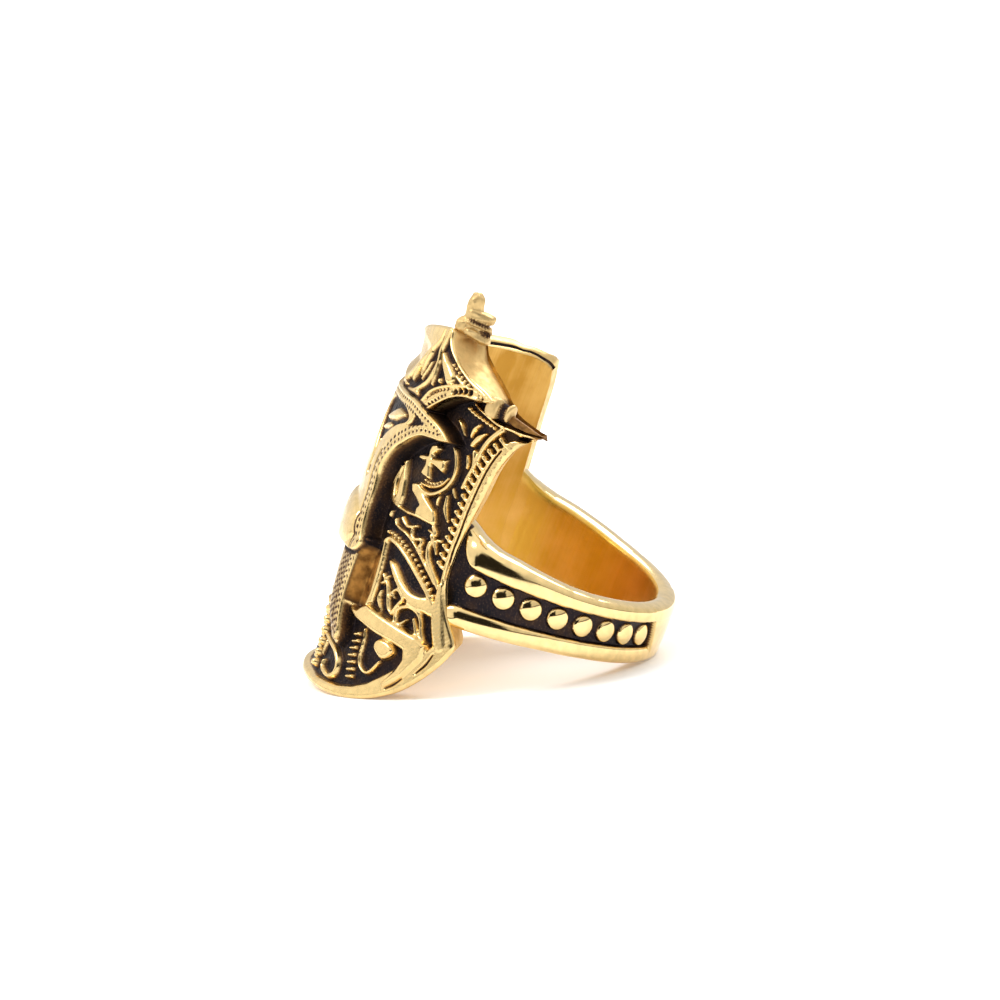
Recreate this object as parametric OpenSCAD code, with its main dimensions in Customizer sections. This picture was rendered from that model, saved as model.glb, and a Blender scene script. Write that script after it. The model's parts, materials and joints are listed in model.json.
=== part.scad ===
// Galleon ring: one casting, a plain band at the back and a tall curved plate of
// sails, prow and hull in raised relief at the front. It lies on its side.
// Ring frame: x to the front of the plate, y to the decorated side, z along the finger.

/* [Band] */
// Radius of the finger hole
bore_r = 10; // [9:0.1:11]
// Outer radius of the band, at its crown
band_outer_r = 13; // [12.8:0.05:13.1]
// How far the band's outside is set towards the plate
band_offset = 1.3; // [1.1:0.1:1.4]
// Height of the band's upper edge above its middle, beside the plate
band_up = 2.8; // [2.6:0.1:3]
// Height of the band's lower edge below its middle, beside the plate
band_down = 2.8; // [2.6:0.1:3]
// Slope of the band's upper edge, down towards the back
band_up_slope = 6; // [4:0.5:8]
// Slope of the band's lower edge
band_down_slope = 1; // [0:0.5:3]
// Depth of the dark channel between the rails
channel_depth = 0.5; // [0.3:0.05:0.6]
// Height of the channel's upper side, beside the plate
channel_top = 1; // [0.9:0.05:1.1]
// Depth of the channel's lower side, beside the plate
channel_bottom = 2; // [1.9:0.05:2.1]

/* [Beads] */
// Beads on each side of the band
bead_count = 8; // [6:1:8]
// Radius of a bead
bead_r = 0.78; // [0.6:0.02:0.8]
// Angle between two beads
bead_step = 9.75; // [9.4:0.05:9.8]
// Angle of the first bead, from the front
bead_first = 91.5; // [91:0.5:92]

/* [Plate] */
// Radius of the plate's background
plate_r = 13.1; // [13:0.05:13.2]
// How far the plate's curve is set back from the finger's axis
plate_set_back = 2.1; // [2:0.05:2.2]
// Height of the low relief above the background
relief = 0.45; // [0.3:0.05:0.6]
// Height of the hull bar and the prow above the background
hull_relief = 0.75; // [0.6:0.05:0.9]
// Height of the sails above the background
sail_relief = 1.5; // [1.3:0.05:1.6]

/* [Border] */
// Teeth along the near edge
tooth_count = 17; // [10:1:20]
// Width of a tooth
tooth_w = 0.5; // [0.3:0.05:0.6]
// Dots in the upper border
dot_count = 7; // [4:1:9]
// Links of the twisted rope
rope_links = 7; // [5:1:8]
// Rungs of the ladder
rung_count = 7; // [5:1:8]

/* [Hidden] */
$fn = 96;
gold = "goldenrod";
far = 40;
rest_tilt = 26.7;
floor_height = 7.49;
rest_shift = [-0.024, 2.548];
plate_x = -plate_set_back;
crown_z = -0.2;
band_front = 5;
channel_top_slope = 2.6;
channel_bottom_slope = 3;
channel_end = -11;
channel_front = band_front + 2;
press_start = plate_r * 0.55;
rim_relief = relief + 0.1;
upper_sail_relief = sail_relief - 0.1;
belly_relief = sail_relief + 0.4;
bead_ball = bead_r + 0.07;
bead_sink = 0.3;
bead_row_rise = 0.5;
bead_row_slope = 0.035;
sail_turn = 10;
prow_turn = 22;
flank_turn = 52;
top_turn = 30;
tooth_l = 1;
tooth_lean = -8;
tooth_rise = tooth_w * 0.6;
dot_r = 0.2;
rung = [1, 0.28];
rung_lean = -12;
boss_place = [55, -7.3];
boss_r = 0.85;
rope_ball = 0.55;
rope_sink = 0.2;
medallion_place = [44, 6.1];
medallion_r = 1.95;
medallion_line = 0.3;
cross_turn = 20;
CROSS_ARM = [[0.12, -0.1], [1.05, -0.42], [0.95, 0], [1.05, 0.42], [0.12, 0.1]];
hook_place = [33, -10.4];
hook_r = 1.25;
hook_hole_r = 0.75;
hook_hole_shift = [0.1, 0.1];
hook_gap_place = [-1.6, 0.2];
hook_gap = [1.2, 1.4];
yard_place = [62, 12.2];
yard_out = 13;
yard_turn = 8;
yard_l = 1.8;
yard_r = 0.55;

// Side view of the decorated half: x from the finger's axis, z along the finger
NEAR_SIDE = [
  [0.3, 20], [0.3, 11.9], [1.3, 11.2], [2, 10], [2.6, 8], [2.9, 5.6], [3.2, 2.6], [3.1, -0.4],
  [2.4, -2.4], [0.9, -4], [0.5, -4.8], [1.1, -6.3], [2.1, -7.9], [3.2, -9.3],
  [4.4, -10.4], [5.6, -11.2], [7, -11.9], [8.6, -12.5], [10.1, -12.9], [14, -13.1],
  [14, 20]
];
// Side view of the far half, squarer at the top
FAR_SIDE = [
  [3.8, 11.7], [3.4, 10], [3.2, 7.6], [3, 4.6], [2.6, 3], [2.6, -2.4], [0.9, -4],
  [0.5, -4.8], [1.1, -6.3], [2.1, -7.9], [3.2, -9.3], [4.4, -10.4], [5.6, -11.2],
  [7, -11.9], [8.6, -12.5], [10.1, -12.9], [14, -13.1], [14, 12.6], [11.4, 12.5],
  [7.7, 12]
];
// Upper edge of the decorated half, angle from the front and z
NEAR_TOP = [
  [-20, 12.4], [0, 12.5], [8, 13.3], [15, 14.3], [24, 14.9], [31, 15.3], [33, 16.2],
  [35, 18], [37.5, 18.5], [40, 18], [41, 17], [43.5, 16.7], [44, 15.8], [41.5, 15.5],
  [42, 14.4], [48, 13.7], [55, 13.4], [61, 13.1], [67, 12.4], [72, 12.2], [80, 12], [85, 11.9]
];

// Relief tables: angle from the front in degrees, height z in mm
// Main sail, its tip towards the near edge and its foot towards the prow
MAIN_SAIL = [
  [-38, 8.2], [-20, 9], [6, 9.2], [25, 9.6], [36, 9.5], [45, 9.2], [54, 8.6], [50, 8.2],
  [43, 7.9], [37, 7], [33, 6.1], [27, 4.4], [27, 2.9], [28, 1.4], [30, 0], [33, -1.3],
  [30, -2.4], [18, -2.4], [8, -0.5], [3, 0.6], [-14, 1.4], [-28, 2.6], [-36, 5]
];
// Upper sail, behind the main sail's head
UPPER_SAIL = [
  [-40, 9.6], [-20, 10.6], [6, 10.3], [25, 10.2], [38, 9.6], [42, 10.4], [47, 11.3],
  [51, 12], [56, 12.4], [60, 12.5], [62, 13.2], [62, 20], [-40, 20]
];
// Belly of the main sail, standing furthest out
SAIL_BELLY = [[4, 0.6], [20, 0.3], [31, -1.9], [28, -2.7], [16, -2.6], [8, -1.6]];
// Prow, a long hatched blade below the main sail
PROW = [
  [14, -1.6], [30.7, -1.6], [32, -4], [34, -6], [35, -7.6], [32, -8.9],
  [26, -9.1], [20, -8], [15, -6]
];
// Bar of the hull, from the prow out to the lower rim
HULL_BAR = [
  [34, -5.8], [41, -5.2], [50, -4.9], [60, -4.9], [68, -5.2], [72, -6.2], [66, -7.8],
  [62, -6.6], [52, -6.3], [42, -6.7]
];
// Lower rim, inner line then outer line
LOWER_RIM = [
  [64, -6.4], [62, -7.6], [57, -9.2], [49, -10.8], [36, -11.8], [24, -12.1], [-6, -12.2],
  [-6, -14], [50, -14], [80, -12], [80, -5], [72, -4.8]
];
// Thick strip of the border beside the near edge
EDGE_STRIP = [
  [82, 12.2], [72, 11.1], [68, 10], [65, 8], [64, 5.6], [64.5, 2.6], [66, -0.2], [68, -2.4],
  [72, -4.6], [84, -4.6], [84, 13]
];
// Line, then its width: strokes of the low relief
STROKES = [
  ["hull frame left", 0.4, [[41, -5.3], [36, -0.5]]],
  ["hull frame right", 0.4, [[36, -0.6], [47, -0.4], [54, -0.9], [62, -1.8], [70, -3.6]]],
  ["hull inner left", 0.3, [[42, -5.2], [39.5, -1.4]]],
  ["hull inner branch", 0.4, [[39.5, -1.5], [46, -2.3], [53, -3], [64, -2.6]]],
  ["hull scroll", 0.35, [[44, -2.5], [47, -3.3], [52, -3.6], [54, -4.2], [56, -4.9]]],
  ["hull arch", 0.35, [[55, -4.8], [55, -3.9], [59, -3.4], [64, -3.8], [68, -5.2]]],
  ["hull line", 0.35, [[40, 1.1], [44, 0.9], [50, 0.5], [59, -0.5], [66, -1.8]]],
  ["banner", 0.4, [[27, 5.6], [25, 3.6], [29, 2.2], [37, 2], [46, 2.3], [55, 2.6]]],
  ["banner fold", 0.5, [[28, 5.6], [33, 4], [36, 2.6]]],
  ["banner end", 1, [[40, 4.1], [48, 3.6], [54, 3]]],
  ["upper border", 0.3, [[53, 10.4], [62, 10.5], [70, 10.9]]],
  ["inner border", 0.3, [[64, 10.2], [62, 8.8], [61, 7.5], [60, 5.8]]],
  ["anchor line", 0.3, [[45, -6.9], [47, -7.9], [48, -9], [52, -9.4], [55, -8.6]]],
  ["leaf one", 0.45, [[48, 10.1], [52, 9.6]]],
  ["leaf two", 0.5, [[56, 10], [59, 9.4]]],
  ["leaf three", 0.4, [[57, 8.3], [59, 7.4]]],
  ["leaf four", 0.4, [[57, 5], [60, 3.2]]],
  ["leaf five", 0.4, [[57, 1.4], [60, -0.6]]],
  ["leaf six", 0.35, [[50, 1.9], [54, 1.4], [56, 0.4]]]
];
// Centre line of the teeth, angle and z
TEETH_LINE = [[66, 10.3], [65, 9.2], [63, 8], [62, 6.8], [61.5, 5.4], [61.5, 4.1],
  [62, 2.7], [62.5, 1.4], [63, 0.3]];
ROPE_LINE = [[8, -7], [13, -8.5], [16, -9.9], [18, -10.9], [19, -11.7]];
LADDER_LINE = [[42, -7.3], [43.5, -8.7], [46, -10.5]];
DOT_LINE = [[51, 11.4], [56, 11.4], [62, 11.3], [68, 11.4]];

// Point in the plane square to the direction turn, for a place on the plate
function flat(place, turn) = [plate_r * sin(place[0] - turn), place[1]];
function flat_all(line, turn) = [for (place = line) flat(place, turn)];
function unit(v) = v / norm(v);
function left_of(v) = [-v[1], v[0]];
function heading(line, i) =
  unit(line[min(i + 1, len(line) - 1)] - line[max(i - 1, 0)]);
// Outline of a stroke of one width along a line
function ribbon(line, w) = concat(
  [for (i = [0 : len(line) - 1]) line[i] + left_of(heading(line, i)) * w / 2],
  [for (i = [len(line) - 1 : -1 : 0]) line[i] - left_of(heading(line, i)) * w / 2]);
// Place at a share t of a table's length, counted in its rows
function along(line, t) =
  let (s = t * (len(line) - 1), i = min(floor(s), len(line) - 2))
  line[i] + (line[i + 1] - line[i]) * (s - i);

module bore() {
  translate([0, 0, -far]) rotate([0, 0, 180]) cylinder(h = 2 * far, r = bore_r);
}

// Layer over the plate's background, from inside the wall to a height above it
module layer(height) {
  translate([plate_x, 0, -far / 2]) rotate([0, 0, 180]) cylinder(h = far, r = plate_r + height);
}

// A flat drawing pressed out of the plate in the direction turn, up to a height
module pressed(turn, height) {
  intersection() {
    layer(height);
    translate([plate_x, 0, 0]) rotate([0, 0, turn]) translate([press_start, 0, 0])
      rotate([90, 0, 90]) linear_extrude(far) children();
  }
}

module side_profile(points, side) {
  rotate([90, 0, 0]) translate([0, 0, side > 0 ? -far : 0]) linear_extrude(far)
    polygon(points);
}

// Half space on one side of a plane through [0, 0, height], sloping along x
module below(height, slope) {
  translate([0, 0, height]) rotate([0, -slope, 0]) translate([-far, -far, -2 * far])
    cube([2 * far, 2 * far, 2 * far]);
}

module above(height, slope) {
  translate([0, 0, height]) rotate([0, -slope, 0]) translate([-far, -far, 0])
    cube([2 * far, 2 * far, 2 * far]);
}

module behind(x) {
  translate([x - 2 * far, -far, -far]) cube(2 * far);
}

// Sphere about the band's middle, which crowns its outside
module crown(r) {
  translate([band_offset, 0, crown_z]) sphere(r = r, $fn = 180);
}

module band_blank() {
  intersection() {
    crown(band_outer_r);
    below(band_up, band_up_slope);
    above(-band_down, -band_down_slope);
    behind(band_front);
  }
}

// Dark channel between the two rails, left out at the plain back
module channel() {
  difference() {
    intersection() {
      below(channel_top, channel_top_slope);
      above(-channel_bottom, -channel_bottom_slope);
      translate([channel_end, -far, -far]) cube(2 * far);
      behind(channel_front);
    }
    crown(band_outer_r - channel_depth);
  }
}

module bead(angle) {
  x = band_offset + (band_outer_r - channel_depth) * cos(angle);
  z = -(channel_bottom - channel_top) / 2 + bead_row_rise + bead_row_slope * x;
  translate([band_offset, 0, z]) rotate([0, 0, angle])
    translate([band_outer_r - channel_depth - bead_sink, 0, 0]) sphere(r = bead_ball, $fn = 32);
}

module beads() {
  for (i = [0 : bead_count - 1], side = [-1, 1])
    bead(side * (bead_first + i * bead_step));
}

// Band at the back with its rails, channel and beads
module band() {
  difference() {
    band_blank();
    channel();
  }
  beads();
}

// Two layers of billowing sail
module sails() {
  pressed(sail_turn, upper_sail_relief) polygon(flat_all(UPPER_SAIL, sail_turn));
  pressed(sail_turn, sail_relief) polygon(flat_all(MAIN_SAIL, sail_turn));
  pressed(sail_turn, belly_relief) polygon(flat_all(SAIL_BELLY, sail_turn));
}

module prow() {
  pressed(prow_turn, hull_relief) polygon(flat_all(PROW, prow_turn));
}

// Hull bar, lower rim and edge strip on one half
module hull_frame() {
  pressed(flank_turn, hull_relief) polygon(flat_all(HULL_BAR, flank_turn));
  pressed(flank_turn, rim_relief) {
    polygon(flat_all(LOWER_RIM, flank_turn));
    polygon(flat_all(EDGE_STRIP, flank_turn));
  }
}

module tooth(place) {
  translate(flat(place, flank_turn)) rotate(tooth_lean) square([tooth_l, tooth_rise], center = true);
}

// Small relief of the flank, all drawn flat and pressed out at once
module flank_drawing() {
  for (stroke = STROKES) polygon(ribbon(flat_all(stroke[2], flank_turn), stroke[1]));
  for (i = [0 : tooth_count - 1]) tooth(along(TEETH_LINE, i / (tooth_count - 1)));
  for (i = [0 : dot_count - 1])
    translate(flat(along(DOT_LINE, i / (dot_count - 1)), flank_turn)) circle(r = dot_r, $fn = 16);
  for (i = [0 : rung_count - 1])
    translate(flat(along(LADDER_LINE, i / (rung_count - 1)), flank_turn)) rotate(rung_lean)
      square(rung, center = true);
  translate(flat(boss_place, flank_turn)) circle(r = boss_r);
  translate(flat(medallion_place, flank_turn)) medallion();
}

// Round medallion with a cross of four flared arms
module medallion() {
  difference() {
    circle(r = medallion_r);
    circle(r = medallion_r - medallion_line);
    translate([-2 * medallion_r, 0]) square(2 * medallion_r);
  }
  for (i = [0 : 3]) rotate(cross_turn + 90 * i) polygon(CROSS_ARM);
}

module rope() {
  for (i = [0 : rope_links - 1])
    let (place = along(ROPE_LINE, i / (rope_links - 1)))
      translate([plate_x, 0, place[1]]) rotate([0, 0, place[0]])
        translate([plate_r - rope_sink, 0, 0]) sphere(r = rope_ball, $fn = 24);
}

module hook() {
  pressed(prow_turn, relief)
    translate(flat(hook_place, prow_turn)) difference() {
      circle(r = hook_r);
      translate(hook_hole_shift) circle(r = hook_hole_r);
      translate(hook_gap_place) square(hook_gap);
    }
}

// Front view of the decorated half, below its upper edge
module below_top() {
  first = NEAR_TOP[0][1];
  last = NEAR_TOP[len(NEAR_TOP) - 1][1];
  translate([plate_x, 0, 0]) rotate([0, 0, top_turn]) rotate([90, 0, 90]) linear_extrude(far)
    polygon(concat(flat_all(NEAR_TOP, top_turn), [[far, last], [far, -far], [-far, -far], [-far, first]]));
}

// End of the yard, a peg at the near corner of the upper sail
module yard_end() {
  translate([plate_x, 0, yard_place[1]]) rotate([0, 0, yard_place[0]]) translate([yard_out, 0, 0])
    rotate([-90, 0, yard_turn]) cylinder(h = yard_l, r = yard_r, center = true, $fn = 48);
}

// Decorated half of the plate, cut to its side view
module near_half() {
  intersection() {
    side_profile(NEAR_SIDE, 1);
    below_top();
    union() {
      layer(0);
      sails();
      prow();
      hull_frame();
      hook();
      pressed(flank_turn, relief) flank_drawing();
    }
  }
}

// Far half of the plate, which the same sails wrap onto
module far_half() {
  intersection() {
    side_profile(FAR_SIDE, -1);
    union() {
      layer(0);
      sails();
      prow();
      mirror([0, 1, 0]) hull_frame();
    }
  }
}

// The whole casting, standing on its finger axis
module casting() {
  difference() {
    union() {
      near_half();
      far_half();
      band();
      rope();
      yard_end();
    }
    bore();
  }
}

module ring() {
  color(gold)
    translate([rest_shift[0], rest_shift[1], floor_height])
      rotate([-rest_tilt, 0, 0]) rotate([0, 0, -90]) casting();
}

ring();
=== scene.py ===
"""Galleon ring in antiqued gold, resting on a pale studio floor.

Ring frame, in millimetres: x to the front of the plate, y to the decorated side, z along the
finger. Relief is drawn on the plate by angle from the front, in degrees, and height z.
"""
import json
import math

import bmesh
import bpy
import numpy as np
from mathutils import Matrix, Vector


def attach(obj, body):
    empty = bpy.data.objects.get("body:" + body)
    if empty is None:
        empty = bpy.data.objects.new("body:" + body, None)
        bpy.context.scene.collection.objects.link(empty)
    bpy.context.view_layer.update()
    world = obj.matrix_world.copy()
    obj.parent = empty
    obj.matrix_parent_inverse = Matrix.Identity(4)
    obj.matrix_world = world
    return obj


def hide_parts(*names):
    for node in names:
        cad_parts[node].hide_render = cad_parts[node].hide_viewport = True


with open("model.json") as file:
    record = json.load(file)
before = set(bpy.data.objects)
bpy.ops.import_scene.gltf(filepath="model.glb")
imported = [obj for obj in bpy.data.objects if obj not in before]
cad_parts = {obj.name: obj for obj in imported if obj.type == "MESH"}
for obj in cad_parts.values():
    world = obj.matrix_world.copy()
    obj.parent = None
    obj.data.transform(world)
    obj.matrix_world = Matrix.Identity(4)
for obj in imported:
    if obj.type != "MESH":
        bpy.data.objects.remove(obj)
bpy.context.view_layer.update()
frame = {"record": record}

# Ring frame from the finger hole's mount
MM = 0.001
HOLE_MIDDLE = 2.81
hole = next(m for m in frame["record"]["mounts"] if m["name"] == "finger_hole")
FINGER = np.array(hole["axis"], float)
FINGER /= np.linalg.norm(FINGER)
SIDE = np.array([1.0, 0.0, 0.0])
FRONT = np.cross(SIDE, FINGER)
MIDDLE = np.array(hole["pos_m"], float) - FINGER * HOLE_MIDDLE * MM
BORE_R = hole["dims"]["r_mm"]

# Plate: radius of its ground, x of its middle, and the length of a degree along its relief
PLATE_R = 13.1
PLATE_X = -2.1
ARC = math.radians(1) * 13.5
# Heights of the relief over the ground
LOW = 0.45
RAISED = 0.55
BAR = 0.8
SAIL = 1.45
# Rounding of the plate's rim, and a factor on the width of every stroke
EDGE_ROUND = 0.3
WIDEN = 0.98
# Lower cut face: radius where the outline's z is read by x, then the angle past which the face runs
# straight to the side, and the outer radius there
LOW_CUT_R = 13.4
BEND = 40
BEND_R = 13.6
# The dark tip of the near corner begins at this angle and z
TIP_ANGLE = 63
TIP_Z = 11.75
# Grid of the plate, and how much coarser it is on the bore
FAR_COLS = 181
NEAR_COLS = 321
ROWS = 481
COARSE = 4
SEAM = FAR_COLS - 1
# Coarse columns between the far wall's rail and the seam
RAIL_SHORT = 2
# Waves that roughen the metal: their number, height on gold, and how much higher in the recesses
WAVES = 14
WAVE_ON_GOLD = 0.0008
WAVE_IN_RECESS = 0.004

# Outline of the plate's outer face: angle, z
BOTTOM_HALF = [
    (5.5, -13), (24.6, -12.8), (37.2, -12.5), (47.7, -11.9), (55.9, -11.1), (60.9, -10.4), (66.8, -9.3),
    (71.8, -7.9), (76, -6.3), (78.7, -4.8),
]
BOTTOM_EDGE = [(-angle, z) for angle, z in reversed(BOTTOM_HALF)] + BOTTOM_HALF
NEAR_EDGE = [
    (78.7, -4.8), (77.5, -4.1), (71.4, -2.4), (67.6, -0.4), (67.2, 1.5), (67.4, 3.2), (68.6, 5.6),
    (69.6, 8), (72.5, 10), (76.3, 11.2), (80.2, 11.85),
]
FAR_EDGE = [
    (-78.7, -4.8), (-77.5, -4.1), (-71.5, -2.5), (-68.5, -0.5), (-68, 3), (-67.4, 4.7), (-66.1, 7.7),
    (-65.2, 10.2), (-64, 11.8),
]
TOP_EDGE = [
    (-64, 11.75), (-61.4, 11.95), (-52, 12), (-41.7, 12.15), (-25, 12.25), (-10, 12.45), (0, 12.85),
    (8, 13.5), (15, 14.2), (24, 14.9), (31, 15.4), (35.5, 15.6), (37.5, 14.9), (41.5, 14.2), (46.5, 13.7),
    (52, 13.4), (58, 13.2), (63, 12.8), (68, 12.45), (74, 12.25), (80.2, 12),
]
# Inner end of the top face, on the bore: angle about the finger, z
TOP_INSIDE = [
    (-72, 10.2), (-69, 10.8), (-65, 11.25), (-59, 11.5), (-35, 11.65), (0, 12.1), (20, 13.4), (33, 14.5),
    (42, 15.5), (44.7, 15), (48.7, 14.25), (55, 13.7), (61.8, 13.1), (69.3, 12.3), (79, 11.8), (88, 11.5),
]
# Radius of the inner end of the top face, where the near corner thins to a point: angle, radius
TOP_REACH = [(66, 10), (72, 10.5), (75, 11.2), (79, 11.4), (84, 11.5), (88, 11.5)]

# Strokes of the relief: name, width, height, points (angle, z)
STROKES = [
    ("banner outer line", 0.24, LOW, [(30.6, 4.6), (29.5, 3.8), (29.3, 3), (30.6, 2.35), (34, 2.1),
        (38, 2.1), (42.5, 2.2), (47, 2.4), (51.5, 2.5), (55.5, 2.6)]),
    ("banner inner line", 0.3, LOW, [(31, 5), (33.5, 4.1), (35.5, 3.3), (36.5, 2.7), (37.5, 2.2)]),
    ("medallion rim", (0.24, 0.28, 0.36), LOW, [(49.5, 8.5), (52.5, 8.1), (55, 7.3), (56, 6.4),
        (55.2, 5.6), (53.5, 5), (51, 4.5), (48.5, 4.25), (45.5, 4.2), (43, 4.3)]),
    ("medallion inner line", 0.16, 0.35, [(54, 6), (52.5, 5.4), (50.5, 5), (48, 4.75), (45.5, 4.65),
        (43.5, 4.6)]),
    ("leaf below ring", (0.2, 0.42, 0.15), LOW, [(56.5, 4.9), (57, 4.5), (57.6, 4), (59, 3.6),
        (60.2, 3.3)]),
    ("leaf left", (0.14, 0.22, 0.1), 0.4, [(53.6, 4.55), (53.4, 4.25), (53.8, 3.9)]),
    ("leaf right", (0.12, 0.22, 0.12), 0.4, [(57.3, 5.6), (58.2, 5.35), (59.4, 5.1)]),
    ("long line", (0.25, 0.2, 0.3), LOW, [(39, 1.25), (40, 1), (42.5, 0.9), (45.5, 0.9), (48, 0.8),
        (51, 0.6), (53, 0.4), (55.5, 0.1), (58, -0.25), (61, -0.65), (64, -1.1)]),
    ("speck", 0.2, 0.35, [(34, 1.1), (34.2, 1.4)]),
    ("scroll over line", (0.35, 0.28, 0.18), LOW, [(42, 1.65), (43.5, 1.5), (45.5, 1.4), (47.5, 1.55),
        (49.5, 1.8)]),
    ("scroll on line", (0.2, 0.3, 0.3), LOW, [(48, 1.35), (49, 1), (51, 0.95), (53.2, 1.15), (54, 0.9),
        (53.7, 0.6), (55, 0.35)]),
    ("bud", 0.35, LOW, [(56, 2.4), (57.2, 2.2), (57.6, 2)]),
    ("bud arm", (0.1, 0.2, 0.25), 0.35, [(54, 2), (56, 2), (57.5, 2.1)]),
    ("bud leaf", (0.3, 0.35, 0.12), LOW, [(56.5, 1.8), (58, 1.5), (59.5, 1.2), (60.7, 0.8)]),
    ("bud speck", 0.25, 0.35, [(59, 1.7), (60.5, 1.8)]),
    ("long leaf", (0.35, 0.5, 0.4), LOW, [(57, 1.3), (57.2, 0.8), (58.2, 0.3), (60, -0.15), (62.5, -0.6),
        (66, -1.3)]),
    ("frame right", (0.4, 0.42, 0.4), 0.5, [(38, -0.6), (39.5, -0.2), (42, -0.15), (45, -0.2),
        (48, -0.35), (52, -0.65), (57, -1.2), (61.5, -1.75), (65, -2.3), (68, -2.9)]),
    ("frame left", 0.36, 0.5, [(38.3, -0.4), (39.5, -1.3), (40.3, -2.2), (41.2, -3.4), (41.8, -4.4),
        (41.5, -5.3)]),
    ("triangle left", 0.2, LOW, [(40.5, -1.6), (41.4, -2.6), (42.3, -3.8), (42.8, -4.9)]),
    ("stem scroll", (0.25, 0.3, 0.35), LOW, [(43.5, -2.6), (45, -2.8), (47, -3.05), (48.5, -3.5),
        (50, -4.05), (51.5, -4.5), (53.2, -4.65)]),
    ("stem scroll thorn", (0.3, 0.2, 0.1), LOW, [(45, -2.8), (46.3, -2.45)]),
    ("stem scroll thorn left", (0.1, 0.2, 0.25), LOW, [(43.5, -3.3), (45, -3.1)]),
    ("small leaf", (0.15, 0.35, 0.12), LOW, [(45.5, -3.7), (45.6, -4.3), (48.5, -4.9)]),
    ("curl", (0.25, 0.22, 0.3), LOW, [(50, -3.6), (50.5, -3.25), (51.8, -2.95), (54, -3.1),
        (55.7, -3.35)]),
    ("curl thorn", (0.22, 0.2, 0.1), LOW, [(50, -3.4), (51.7, -3.6)]),
    ("link", 0.25, LOW, [(55, -3.5), (54, -4), (53.4, -4.5)]),
    ("arch", (0.35, 0.32, 0.35), LOW, [(56.3, -5.3), (55, -4.7), (55, -4.2), (56.5, -3.8), (58.8, -3.55),
        (61.3, -3.55), (63.2, -3.7), (64.8, -4.1), (66, -4.7), (68.5, -5.4)]),
    ("arch leaf", (0.4, 0.3, 0.12), LOW, [(56.5, -5.1), (58, -4.95), (59.7, -4.45)]),
    ("arch right leaf", (0.25, 0.35, 0.3), LOW, [(62, -4.15), (63.3, -4.5), (64.5, -4.9), (67, -5.4)]),
    ("anchor line", (0.22, 0.26, 0.2), 0.4, [(45, -6.8), (46, -7.3), (46.6, -7.9), (47, -8.6),
        (48.3, -9.15), (50.3, -9.4), (52.5, -9.4), (53.8, -9.1), (54.7, -8.7), (55.7, -8.2)]),
    ("hook", (0.2, 0.5, 0.25), LOW, [(23.5, -9.2), (28, -9.35), (33.5, -9.5), (37, -9.9), (38.6, -10.4),
        (38.2, -11), (35.5, -11.4), (32, -11.4), (29.5, -11.2), (29.2, -10.8)]),
    ("hook thorn", (0.28, 0.22, 0.1), 0.35, [(25.5, -9.6), (25.3, -10.1), (25.5, -10.6)]),
    ("stem", (0.6, 1.5, 1.4), 0.58, [(67, -1), (68, -1.9), (69.3, -2.8), (70.8, -3.6), (72.3, -4.3),
        (74, -5)]),
    ("inner border", (0.5, 0.4, 0.25), LOW, [(66, 11.1), (64.3, 10.5), (63, 9.9), (62.1, 9.2),
        (61.8, 8.5), (61.4, 7.6), (60.8, 6.8), (60.5, 6)]),
    ("bud by border", (0.45, 0.3, 0.2), LOW, [(59.9, 8.7), (60.6, 8.3), (61.2, 7.8)]),
    ("upper border", (0.2, 0.25, 0.3), LOW, [(53, 11.8), (55.5, 11.65), (59, 11.5), (62, 11.4),
        (64.5, 11.35), (67, 11.4), (70, 11.45), (73, 11.45)]),
    ("leaf at sail tip", (0.1, 0.28, 0.05), LOW, [(48.5, 10.1), (50, 10.05), (51.5, 9.85), (53.5, 9.35)]),
    ("leaf pair upper", (0.2, 0.36, 0.12), LOW, [(57.9, 10.6), (56.8, 10.25), (56.4, 9.8), (56.5, 9.5)]),
    ("leaf pair lower", (0.12, 0.5, 0.42), LOW, [(61.3, 10.3), (59.8, 9.9), (58.6, 9.45), (58, 9.1)]),
    ("leaf thin", (0.14, 0.3, 0.16), LOW, [(57.8, 8.25), (58.9, 7.85), (59.5, 7.4)]),
    ("tip upper line", (0.2, 0.22, 0.15), RAISED, [(67, 11.4), (70, 11.5), (73, 11.55), (76, 11.7),
        (80, 11.9)]),
]
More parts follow.
